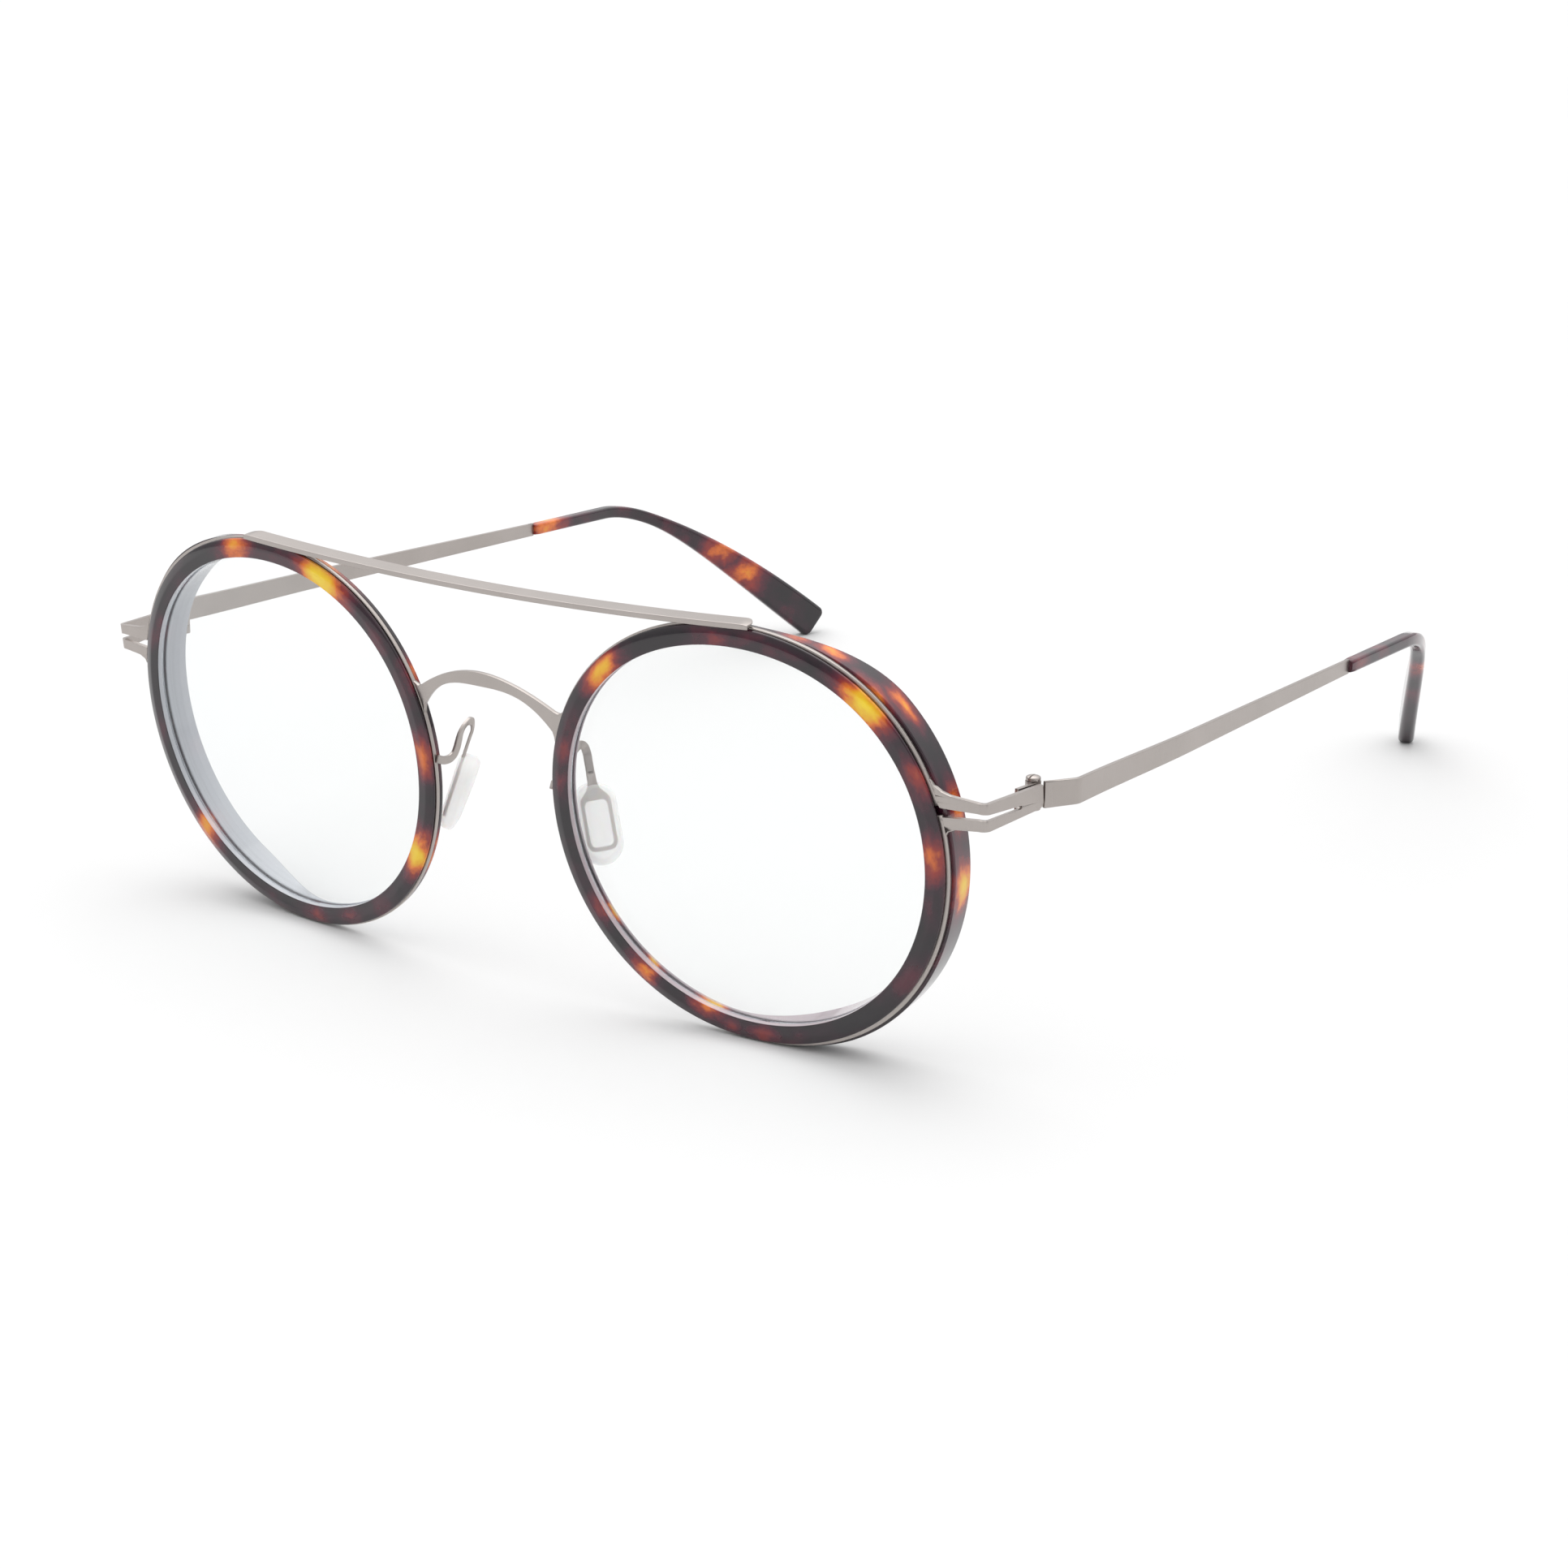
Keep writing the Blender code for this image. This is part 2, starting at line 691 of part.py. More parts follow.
def material(name, colour, metallic, roughness, alpha):
    paint = bpy.data.materials.new(name)
    paint.use_nodes = True
    shader = paint.node_tree.nodes["Principled BSDF"]
    shader.inputs["Base Color"].default_value = (*colour, 1)
    shader.inputs["Metallic"].default_value = metallic
    shader.inputs["Roughness"].default_value = roughness
    shader.inputs["Alpha"].default_value = alpha
    paint.diffuse_color = (*colour, alpha)
    return paint


LOOKS = {
    "steel": (STEEL, 1, 0.35, 1),
    "acetate": (ACETATE, 0, 0.15, 1),
    "silicone": (SILICONE, 0, 0.4, 1),
    "clear": (CLEAR, 0, 0.03, 0.35),
}


def add_object(name, mesh, look, parent, collection):
    mesh.transform(Matrix.Scale(MM, 4))
    mesh.name = name
    item = bpy.data.objects.new(name, mesh)
    mesh.materials.append(material(name, *LOOKS[look]))
    item.parent = parent
    collection.objects.link(item)
    return item


def mirrored(mesh):
    twin = mesh.copy()
    twin.transform(Matrix.Scale(-1, 4, (1, 0, 0)))
    twin.flip_normals()
    return twin


def add_cutter(item, mesh, parent, collection):
    mesh.transform(Matrix.Scale(MM, 4))
    cutter = bpy.data.objects.new(item.name + "_cutter", mesh)
    cutter.parent = parent
    cutter.hide_render = True
    cutter.display_type = "WIRE"
    collection.objects.link(cutter)
    cut = item.modifiers.new("cut", "BOOLEAN")
    cut.operation = "DIFFERENCE"
    cut.solver = "EXACT"
    cut.object = cutter


def add_pair(name, mesh, look, parents, collections, cutter=None, thickness=0):
    """Left piece and its mirror image, each with its own cutter or thickness."""
    for side, parent in parents.items():
        shape = mesh if side == "left" else mirrored(mesh)
        item = add_object(f"{name}_{side}", shape.copy(), look, parent, collections[0])
        if thickness:
            skin = item.modifiers.new("thickness", "SOLIDIFY")
            skin.thickness = thickness * MM
            skin.offset = 0
            skin.use_even_offset = True
        if cutter:
            tool = cutter if side == "left" else mirrored(cutter)
            add_cutter(item, tool.copy(), parent, collections[1])


def add_empty(name, matrix, parent, collection):
    empty = bpy.data.objects.new(name, None)
    empty.parent = parent
    empty.matrix_local = matrix
    empty.empty_display_size = 0.005
    collection.objects.link(empty)
    return empty


def hinge_empties(frame, collection):
    matrix = hinge_matrix()
    matrix.translation = matrix.translation * MM
    empties = {"left": add_empty("hinge_left", matrix, frame, collection)}
    matrix = matrix.copy()
    matrix.translation.x = -matrix.translation.x
    empties["right"] = add_empty("hinge_right", matrix, frame, collection)
    return empties


def build_front(frame, collections):
    sides = {"left": frame, "right": frame}
    add_pair("acetate_rim", acetate_rim(), "acetate", sides, collections)
    add_pair("rim_band", rim_band(), "steel", sides, collections)
    add_pair("lens", lens(), "clear", sides, collections)
    add_pair("end_piece", end_piece(), "steel", sides, collections)
    add_pair("pad_arm", pad_arm(), "steel", sides, collections, thickness=ARM_SHEET)
    add_pair("nose_pad", nose_pad(), "silicone", sides, collections, cutter=pad_cutter())
    add_object("nose_bridge", nose_bridge(), "steel", frame, collections[0])
    add_object("brow_bar", brow_bar(), "steel", frame, collections[0])


def build_hinges(hinges, collections):
    add_pair("front_hinge", front_hinge(), "steel", hinges, collections, cutter=front_hinge_cutter())
    add_pair("temple_hinge", temple_hinge(), "steel", hinges, collections)
    add_pair("hinge_screw", hinge_screw(), "steel", hinges, collections, cutter=drive_cutter())
    add_pair("temple", temple(), "steel", hinges, collections)
    add_pair("temple_tip", temple_tip(), "acetate", hinges, collections, cutter=core_cutter())


def world_points(collection, tips):
    """Corner points of the tips, or of everything else, in the world."""
    points = []
    for item in collection.objects:
        if item.type == "MESH" and item.name.startswith("temple_tip") == tips:
            points += [item.matrix_world @ vertex.co for vertex in item.data.vertices]
    return np.array(points)


def lowest(points, angle):
    return float(np.min(points[:, 1] * math.sin(angle) + points[:, 2] * math.cos(angle)))


def stand_on_table(frame, collection):
    """Tip the frame until rims and temple tips both touch the table, then centre it."""
    bpy.context.view_layer.update()
    front = world_points(collection, False)
    rear = world_points(collection, True)
    low, high = 0.0, math.radians(10)
    for _ in range(40):
        middle = (low + high) / 2
        if lowest(front, middle) < lowest(rear, middle):
            high = middle
        else:
            low = middle
    frame.matrix_world = Matrix.Rotation(low, 4, "X")
    bpy.context.view_layer.update()
    points = np.vstack((world_points(collection, False), world_points(collection, True)))
    centre = (points.min(axis=0) + points.max(axis=0)) / 2
    shift = Matrix.Translation((-centre[0], -centre[1], -points[:, 2].min()))
    frame.matrix_world = shift @ frame.matrix_world


def main():
    clear_scene()
    collections = (new_collection("half_rim_eyeglasses"), new_collection("cutters"))
    frame = add_empty("front_frame", Matrix.Identity(4), None, collections[0])
    hinges = hinge_empties(frame, collections[0])
    build_front(frame, collections)
    build_hinges(hinges, collections)
    stand_on_table(frame, collections[0])
    for hinge in hinges.values():
        bpy.context.view_layer.update()
        axis = hinge.matrix_world.to_3x3() @ Vector((0, 0, 1))
        print(hinge.name, [round(v, 6) for v in hinge.matrix_world.translation], [round(v, 6) for v in axis])


main()
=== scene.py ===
"""Round acetate and sheet-steel eyeglasses on a pale studio floor."""

import json
import math

import bmesh
import bpy
import numpy as np
from mathutils import Matrix, Vector


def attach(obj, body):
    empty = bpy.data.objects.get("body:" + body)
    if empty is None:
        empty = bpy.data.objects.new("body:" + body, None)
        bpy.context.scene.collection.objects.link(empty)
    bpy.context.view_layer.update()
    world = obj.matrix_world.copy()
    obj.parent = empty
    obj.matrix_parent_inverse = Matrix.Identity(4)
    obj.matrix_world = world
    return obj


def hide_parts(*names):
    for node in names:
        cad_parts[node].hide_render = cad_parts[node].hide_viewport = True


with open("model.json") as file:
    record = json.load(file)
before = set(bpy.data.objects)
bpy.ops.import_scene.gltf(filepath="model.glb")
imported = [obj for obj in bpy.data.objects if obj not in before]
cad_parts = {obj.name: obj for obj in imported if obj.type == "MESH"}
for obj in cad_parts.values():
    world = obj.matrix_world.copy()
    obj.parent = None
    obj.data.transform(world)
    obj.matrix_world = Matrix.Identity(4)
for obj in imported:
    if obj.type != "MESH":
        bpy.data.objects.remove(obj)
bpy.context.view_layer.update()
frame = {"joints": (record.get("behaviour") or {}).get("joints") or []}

# Shapes are laid out in millimetres and scaled to metres; angles are in degrees.
MM = 0.001
FLIP = Matrix.Scale(-1, 4, (1, 0, 0))

# Ring outline
RING_X = 35.39
WRAP = 3.95
OVAL = 0.32
LEAN = 0.17
SQUARE = -0.145
RING_STEPS = 300

# Acetate rim
RIM_INNER = 23.5
RIM_OUTER = 25.9
RIM_CREASE = 24.8
RIM_CROWN = 0.08                 # front face stands this far forward at the crease
RIM_SLOPE = 0.22                 # and lies this far back at its outer edge
RIM_EDGE = 0.16
GROOVE_FLOOR = 25.15
LENS_GROOVE = (0.75, 1.1, 1.45)  # front, floor and back of the groove that holds the lens
LENS_GROOVE_CUT = 0.4
REAR_OUTER = (25.98, 26.75)
REAR_DEPTH = (1.75, 4.75)
DEEP_TOP = (42.0, 84.0)
DEEP_BOTTOM = (59.0, 100.0)

# Steel rim band
BAND_INNER = 25.2
BAND_OUTER = (26.08, 26.35)
BAND_FRONT = 0.6
SHEET = 0.5
BAND_GAP = (14.9, 17.4)
BAND_EDGE = 0.09
SLIP = 0.03                      # clearance between fitted pieces

# Lens
LENS_SPHERE = 130.0
LENS_EDGE = 23.45
LENS_BEVEL = 23.83
LENS_THICK = 1.1
LENS_FRONT = 0.55
BEVEL_HALF = 0.28                # half width of the bevel at the lens edge
LENS_RINGS = (0.99, 0.92, 0.8, 0.65, 0.5, 0.35, 0.2, 0.08)

# End piece
BEND_START = 30.26
BEND_RADIUS = 1.1
BEND_ANGLE = 80.8
PLATE_END = 41.35
SLOT_END = 37.5
PLATE_SOFT = 0.12
BEND_CUTS = 18

# Hinge
HINGE = (65.85, 13.5, 6.12)
HINGE_TILT = -7.24
BARREL = 0.9
BORE = 0.5
KNUCKLES = 1.63
MIDDLE = 0.55
LEAF = 0.5
LEAF_LOW = -1.15                 # lower end of the front leaf; the barrel goes on below it
LEAF_FACE = BARREL - 0.005       # outer face of both leaves, just inside the barrel's own
FRONT_LEAF = 3.9
TEMPLE_LEAF = 3.3
ROUND_STEPS = 48

# Hinge screw
SHANK = 0.45
HEAD = 0.84
HEAD_SIDE = 0.34
HEAD_RISE = 0.3
HEAD_CHAMFER = (0.08, 0.07)
DOME_ANGLES = (12, 25, 38, 50, 62, 74)
SHANK_PAST = 0.1                 # the shank shows this far below the lowest barrel
CORE_SHARE = 0.93                # radius of the slot's floor as a share of the head's
HEAD_STEPS = 24
DRIVE_WIDTH = 0.22
DRIVE_DEPTH = 0.26

# Temple strip, in the hinge frame
FLARE = 30.0
STRIP_FACE = 1.47
STRIP_START = 0.74
STRIP_DRIFT = -0.0297
STRIP_OFFSET = 3.93
STRIP_BOW = 0.6
BOW_SPAN = (5.0, 30.0)
KINK_RADIUS = 2.0
STRIP_Z = 0.27
STRIP_HALF = (1.52, 0.95)
STRIP_LENGTH = 75.1
STRIP_EDGE = 0.1
KINK_STEPS = 12
RUN_START = 8
RUN_STEPS = 50
CORE_LENGTH = 12.0
CORE_HALF = 0.45

# Temple tip
TIP_START = 75.13
TIP_KNEE = 92.0
TIP_HANDLES = ((-0.3, 9.96, 0.0), (-4.5, 111.6, -6.71), (-12.5, 129.0, -21.5))
TIP_THICK = (0.82, 1.15)
TIP_HALF = (0.86, 0.92, 2.65)
TIP_WIDENS = (0.1, 0.45)         # shares of the tip over which its height goes from one half to the next
TIP_FLARES = (0.4, 1)
TIP_STRAIGHT = 3 / 19            # share of the tip's stations on its straight part
TIP_MOUTH = (0.8, 0.9)
TIP_CAP = 0.9
TIP_CLOSING = 0.26
CAP_ANGLES = (20, 40, 60, 76)
STRAIGHT_STEPS = 16
TIP_STEPS = 64

# Nose bridge
BRIDGE_TOP = (14.75, 10.72, 10.9, 1.9)
BRIDGE_LOW = (13.05, 7.35, 10.8, 3.1)
BRIDGE_FRONT = -1.0
BRIDGE_BOW = 1.1
BRIDGE_REACH = 10.8
BRIDGE_CUTS = 60

# Brow bar
BAR_HALF = 38.2
BAR_BOW = 1.5
BAR_SAG = 0.8
BAR_WEB = (25.3, 25.97)
BAR_FRONT = -0.1
BAR_BACK = 2.2
BAR_FLANGE = 0.3
BAR_ROUND = 1.5
BAR_EDGE = 0.1
BAR_DROP = 0.2                   # the flange comes down this far at a rounded end
BAR_CLOSING = 0.95
BAR_STEPS = 80

# Nose pads
PAD_CENTRE = (11.5, 3.88, -4.4)
PAD_DOWN = (0.307, -0.226, -0.924)
PAD_ACROSS = (0.566, 0.825, -0.014)
PLATE_HALF = (3.3, 1.85)
WINDOW_HALF = (2.78, 1.46)
PLATE_CORNER = 1.1
PLATE_EDGE = 0.3
WINDOW_CORNER = 0.7
CORNER_STEPS = 8
ARM_HALF = 0.5
ARM_SHEET = 0.4
ARM_EDGE = 0.3
ARM_CUTS = 6
ARM_TURN = (4, 9)
ARM_RUN = ((8.84, -0.98, 1.85), (8.8, 0.0, 1.35), (8.75, 1.0, 1.22), (8.7, 1.8, 1.5), (8.6, 2.3, 2.2),
           (8.55, 2.7, 3.0), (8.55, 3.15, 3.75), (8.56, 3.85, 4.4), (8.6, 4.85, 4.75), (8.7, 5.6, 4.35))
NECK = (8.4, 7.4, 6.0)
PAD_HALF = (5.0, 2.7)
PAD_ROUND = 1.0
PAD_FLAT = 0.35
PAD_BACK = -0.9
PAD_CORNER = 1.69
PAD_STEPS = 16
PAD_THINS = 0.45                 # its lower end loses this share of its thickness on the nose side

# Camera in the front's own frame
EYE = (233.003, -258.369, 138.26)
EYE_RIGHT = (0.81611, 0.57516, -0.05619)
EYE_UP = (-0.17447, 0.33791, 0.92487)
FOCAL = 71.8
SENSOR = 36
NEAR = 0.01                      # nearest distance seen, in metres

# Patches are drawn out along the rim by STREAK and bent by noise of WARP metres; SEAM is the angle
# opposite the place where the ring's unrolled coordinates meet.
STREAK = 0.62
SEAM = 10.0
WARP = 0.003
SPREAD = 1.3

# Painted reflection on the rim's inner wall: its strength, and its pale colour on the left rim and on the
# right one
WALL_REFLECTION = 0.72
WALL_REFLECTION_TINT = {1: (0.56, 0.47, 0.50), -1: (0.60, 0.62, 0.66)}

# Colour patches of the acetate: angle round the ring from the temple side, radius, depth, reach, warmth.
LEFT_SPOTS = (
    (48, 24.9, 0.1, 3.6, 1.0), (135, 24.6, 0.1, 3.2, 0.9), (4, 24.8, 0.1, 2.8, 0.72),
    (25, 25.2, 0.1, 2.4, 0.62), (94, 24.6, 0.1, 2.0, 0.5), (163, 24.4, 0.1, 2.0, 0.48),
    (173, 24.4, 0.1, 1.6, 0.45), (211, 24.2, 0.1, 2.0, 0.5), (233, 24.4, 0.1, 2.2, 0.8),
    (262, 24.6, 0.1, 2.0, 0.5), (273, 25.2, 0.1, 2.0, 0.52), (327, 25.0, 0.1, 2.4, 0.35),
    (15, 26.4, 3.4, 2.6, 0.8), (41, 26.2, 3.2, 2.6, 0.85), (63, 26.0, 2.4, 2.2, 0.8),
    (72, 26.0, 2.0, 1.8, 0.7), (355, 26.4, 3.2, 3.2, 0.95), (213, 23.4, 1.2, 1.6, 0.95),
    (233, 23.4, 1.2, 1.8, 0.95), (254, 23.4, 1.2, 2.6, 0.95),
)
RIGHT_SPOTS = (
    (78, 24.8, 0.1, 3.0, 0.82), (115, 24.8, 0.1, 4.6, 1.0), (175, 24.6, 0.1, 3.0, 0.75),
    (207, 24.8, 0.1, 3.4, 0.98), (250, 24.6, 0.1, 2.0, 0.45), (265, 24.8, 0.1, 2.4, 0.52),
    (317, 24.4, 0.1, 3.0, 0.85), (113, 25.9, 1.6, 2.4, 0.75), (153, 25.8, 1.5, 2.0, 0.7),
    (202, 25.8, 1.5, 2.2, 0.7), (20, 26.3, 3.2, 3.0, 0.8), (345, 26.3, 3.2, 3.0, 0.7),
    (140, 24.3, 0.1, 2.0, 0.42), (40, 26.2, 3.0, 2.6, 0.7),
)

# The same for the tips: place in the hinge frame, reach, warmth.
LEFT_TIP = (
    (2.0, 77.5, 0.3, 2.6, 0.5), (1.9, 84.0, 0.6, 2.0, 0.45), (0.6, 103.0, -1.0, 3.0, 0.6),
    (-3.0, 112.0, -6.0, 4.0, 0.95), (-6.0, 119.0, -11.5, 3.6, 0.8), (-9.0, 124.5, -16.5, 3.0, 0.4),
)
RIGHT_TIP = (
    (-2.3, 78.5, 0.3, 4.2, 0.85), (-1.6, 96.0, 0.6, 2.2, 0.4), (4.6, 114.5, -8.2, 4.4, 0.9),
    (6.6, 118.8, -12.2, 4.6, 0.95), (0.0, 103.0, -1.0, 2.4, 0.35),
)

# Colour stops, each a place on its ramp and a colour
ACETATE_STOPS = (
    (0.0, (0.009, 0.005, 0.008)), (0.16, (0.024, 0.006, 0.014)), (0.38, (0.085, 0.008, 0.022)),
    (0.58, (0.26, 0.022, 0.016)), (0.74, (0.68, 0.15, 0.014)), (0.86, (0.78, 0.38, 0.01)),
    (1.0, (0.86, 0.62, 0.02)),
)
STEEL_STOPS = (
    (0.3, (0.405, 0.370, 0.348)), (0.5, (0.425, 0.388, 0.366)), (0.7, (0.445, 0.406, 0.384)),
)
COATING_STOPS = ((0.3, (0.80, 0.86, 0.90)), (0.7, (0.86, 0.86, 0.92)))
SILICONE_STOPS = ((0.3, (0.955, 0.955, 0.945)), (0.7, (0.985, 0.985, 0.975)))
FLOOR_STOPS = ((0.3, (0.66, 0.66, 0.66)), (0.7, (0.68, 0.68, 0.68)))
SKY_STOPS = (
    (0.0, (0.45, 0.45, 0.46)), (0.15, (0.72, 0.72, 0.73)), (0.4, (0.98, 0.98, 0.98)),
    (1.0, (1.9, 1.9, 1.9)),
)
MIDDLE_TONES = (0.3, 0.7)        # where nearly all of a noise texture's values lie

# Studio
FLOOR_HALF = 12
DIM_SIDE = (0.45, -0.85, 0.15)   # the dome is dimmer this way, where the front of the frame faces
SUN_FROM = (-0.35, 0.25, 1.0)
SUN_STRENGTH = 0.6
SUN_SPREAD = 60

# Edges
BEVEL_FROM = 35                  # edges sharper than this are rounded
SHARP_FROM = 50                  # and edges still sharper than this stay sharp in shading


def finish_mesh(name, bm):
    bmesh.ops.recalc_face_normals(bm, faces=bm.faces)
    mesh = bpy.data.meshes.new(name)
    bm.to_mesh(mesh)
    bm.free()
    return mesh


def loft(name, sections, ring=False):
    """Skin closed sections; a ring joins the last to the first, else both ends are capped."""
    bm = bmesh.new()
    loops = [[bm.verts.new(point) for point in section] for section in sections]
    following = loops[1:] + loops[:1] if ring else loops[1:]
    for first, second in zip(loops, following):
        for k in range(len(first)):
            after = (k + 1) % len(first)
            bm.faces.new((first[k], first[after], second[after], second[k]))
    if not ring:
        bm.faces.new(loops[0])
        bm.faces.new(loops[-1])
    return finish_mesh(name, bm)


def sheet(name, outlines, thickness, bulge=0):
    """Plate from closed outlines, inner ones becoming holes, centred on its own plane."""
    curve = bpy.data.curves.new(name, "CURVE")
    curve.dimensions = "2D"
    curve.fill_mode = "BOTH"
    curve.extrude = thickness / 2
    curve.bevel_depth = bulge
    curve.bevel_resolution = 8
    for outline in outlines:
        spline = curve.splines.new("POLY")
        spline.points.add(len(outline) - 1)
        for point, (x, y) in zip(spline.points, outline):
            point.co = (x, y, 0, 1)
        spline.use_cyclic_u = True
    holder = bpy.data.objects.new(name, curve)
    bpy.context.scene.collection.objects.link(holder)
    raw = bpy.data.meshes.new_from_object(holder)
    bpy.data.objects.remove(holder, do_unlink=True)
    bm = bmesh.new()
    bm.from_mesh(raw)
    bmesh.ops.remove_doubles(bm, verts=bm.verts, dist=0.0001)
    return finish_mesh(name, bm)


def slice_mesh(mesh, places):
    """Cut a mesh across at each place along x so it can be bent."""
    bm = bmesh.new()
    bm.from_mesh(mesh)
    for place in places:
        everything = bm.verts[:] + bm.edges[:] + bm.faces[:]
        bmesh.ops.bisect_plane(bm, geom=everything, plane_co=(place, 0, 0), plane_no=(1, 0, 0))
    bm.to_mesh(mesh)
    bm.free()


def bend_mesh(mesh, place):
    for vertex in mesh.vertices:
        vertex.co = place(*vertex.co)


def fixed_normals(mesh):
    bm = bmesh.new()
    bm.from_mesh(mesh)
    bmesh.ops.recalc_face_normals(bm, faces=bm.faces)
    bm.to_mesh(mesh)
    bm.free()
    return mesh


def join(name, meshes):
    bm = bmesh.new()
    for mesh in meshes:
        bm.from_mesh(mesh)
    return finish_mesh(name, bm)


def ease(value, start, end):
    share = min(max((value - start) / (end - start), 0), 1)
    return share * share * (3 - 2 * share)


def soften(outline, radius, steps=3):
    """Round each corner of a closed polygon with a short curve."""
    points = []
    count = len(outline)
    for k, corner in enumerate(outline):
        corner = Vector(corner)
        before = Vector(outline[k - 1]) - corner
        after = Vector(outline[(k + 1) % count]) - corner
        first = corner + before.normalized() * min(radius, before.length * 0.45)
        last = corner + after.normalized() * min(radius, after.length * 0.45)
        for step in range(steps + 1):
            t = step / steps
            points.append(tuple((1 - t) ** 2 * first + 2 * t * (1 - t) * corner + t * t * last))
    return points


def circle(radius, steps=ROUND_STEPS):
    turns = [math.tau * k / steps for k in range(steps)]
    return [(radius * math.cos(turn), radius * math.sin(turn)) for turn in turns]


def rounded(half_x, half_y, radius, steps=3):
    """Rectangle outline with rounded corners."""
    points = []
    for corner, (sx, sy) in enumerate(((1, 1), (-1, 1), (-1, -1), (1, -1))):
        for k in range(steps + 1):
            turn = math.radians(90 * (corner + k / steps))
            x = sx * (half_x - radius) + radius * math.cos(turn)
            y = sy * (half_y - radius) + radius * math.sin(turn)
            points.append((x, y))
    return points


def ring_swell(turn):
    return OVAL * math.cos(2 * turn) + LEAN * math.sin(3 * turn) + SQUARE * math.cos(4 * turn)


def ring_point(radius, turn, depth):
    reach = radius + ring_swell(turn)
    return (reach * math.cos(turn), depth, reach * math.sin(turn))


def ring_turns():
    return [math.tau * k / RING_STEPS for k in range(RING_STEPS)]


def deep_share(turn):
    """How much of the full rim depth is present: all at the temple, none at the nose."""
    angle = math.degrees((turn + math.pi) % math.tau - math.pi)
    if angle >= 0:
        return 1 - ease(angle, *DEEP_TOP)
    return 1 - ease(-angle, *DEEP_BOTTOM)


def band_outer(turn):
    nose, temple = BAND_OUTER
    return nose + deep_share(turn) * (temple - nose)


def rim_section(turn):
    share = deep_share(turn)
    outer = REAR_OUTER[0] + share * (REAR_OUTER[1] - REAR_OUTER[0])
    depth = REAR_DEPTH[0] + share * (REAR_DEPTH[1] - REAR_DEPTH[0])
    front = BAND_FRONT - SLIP
    back = BAND_FRONT + SHEET + SLIP
    groove_front, groove_floor, groove_back = LENS_GROOVE
    profile = (
        (RIM_INNER, 0), (RIM_CREASE, -RIM_CROWN), (RIM_OUTER, RIM_SLOPE), (RIM_OUTER, front),
        (GROOVE_FLOOR, front), (GROOVE_FLOOR, back), (outer, back), (outer, depth),
        (RIM_INNER, depth), (RIM_INNER, groove_back), (RIM_INNER + LENS_GROOVE_CUT, groove_floor),
        (RIM_INNER, groove_front),
    )
    return [ring_point(radius, turn, y) for radius, y in soften(profile, RIM_EDGE)]


def acetate_rim():
    return loft("acetate_rim", [rim_section(turn) for turn in ring_turns()], ring=True)


def ring_matrix():
    return Matrix.Translation((RING_X, 0, 0)) @ Matrix.Rotation(math.radians(WRAP), 4, "Z")


def rim_band():
    """Flat open ring of sheet; its ends run into the two prongs of the end piece."""
    start, end = (math.radians(angle) for angle in BAND_GAP)
    beside = math.tau / RING_STEPS
    turns = [end] + [turn for turn in ring_turns() if turn > end + beside]
    turns += [turn for turn in ring_turns() if turn < start - beside] + [start]
    back = BAND_FRONT + SHEET
    sections = []
    for turn in turns:
        outer = band_outer(turn)
        corners = ((BAND_INNER, BAND_FRONT), (outer, BAND_FRONT), (outer, back), (BAND_INNER, back))
        sections.append([ring_point(radius, turn, y) for radius, y in soften(corners, BAND_EDGE)])
    return loft("rim_band", sections)


def lens_depth(radius):
    """Depth of the front surface at a distance from the lens centre."""
    return LENS_FRONT - (LENS_EDGE ** 2 - radius ** 2) / (2 * LENS_SPHERE)


def lens_loop(share, behind):
    points = []
    for turn in ring_turns():
        x, _, z = ring_point(LENS_EDGE, turn, 0)
        reach = share * math.hypot(x, z)
        points.append((share * x, lens_depth(reach) + behind, share * z))
    return points


def lens():
    middle = LENS_FRONT + LENS_THICK / 2
    edge = (
        (LENS_EDGE, LENS_FRONT), (LENS_EDGE, middle - BEVEL_HALF), (LENS_BEVEL, middle),
        (LENS_EDGE, middle + BEVEL_HALF), (LENS_EDGE, LENS_FRONT + LENS_THICK),
    )
    loops = [lens_loop(share, 0) for share in reversed(LENS_RINGS)]
    loops += [[ring_point(radius, turn, y) for turn in ring_turns()] for radius, y in edge]
    loops += [lens_loop(share, LENS_THICK) for share in LENS_RINGS]
    return loft("lens", loops)


def band_edge(height):
    """Distance from the ring centre, towards the temple, of the band's outer edge."""
    turn = math.asin(height / BAND_OUTER[1])
    for _ in range(4):
        turn = math.asin(height / (BAND_OUTER[1] + ring_swell(turn)))
    return (BAND_OUTER[1] + ring_swell(turn)) * math.cos(turn)


def end_piece_outline():
    """Two prongs from the band joining into one plate, laid out flat."""
    upper = [(band_edge(z), z) for z in (7.69, 8.4, 9.1, 9.8, 10.5, 11.0)]
    top = [(24.9, 10.2), (25.8, 9.62), (27.0, 9.27), (BEND_START, 8.98), (PLATE_END, 7.76)]
    end = [(PLATE_END, 5.7), (PLATE_END - 0.2, 5.28), (PLATE_END - 0.6, 5.08)]
    bottom = [(BEND_START, 5.7), (27.4, 5.42), (26.5, 5.0)]
    lower = [(band_edge(z), z) for z in (4.45, 5.0, 5.6, 6.2, 6.65)]
    slot = [(BEND_START, 7.0), (SLOT_END - 0.2, 6.26), (SLOT_END, 6.46), (SLOT_END - 0.2, 6.66)]
    return upper + top + end + bottom + lower + slot + [(BEND_START, 7.78)]


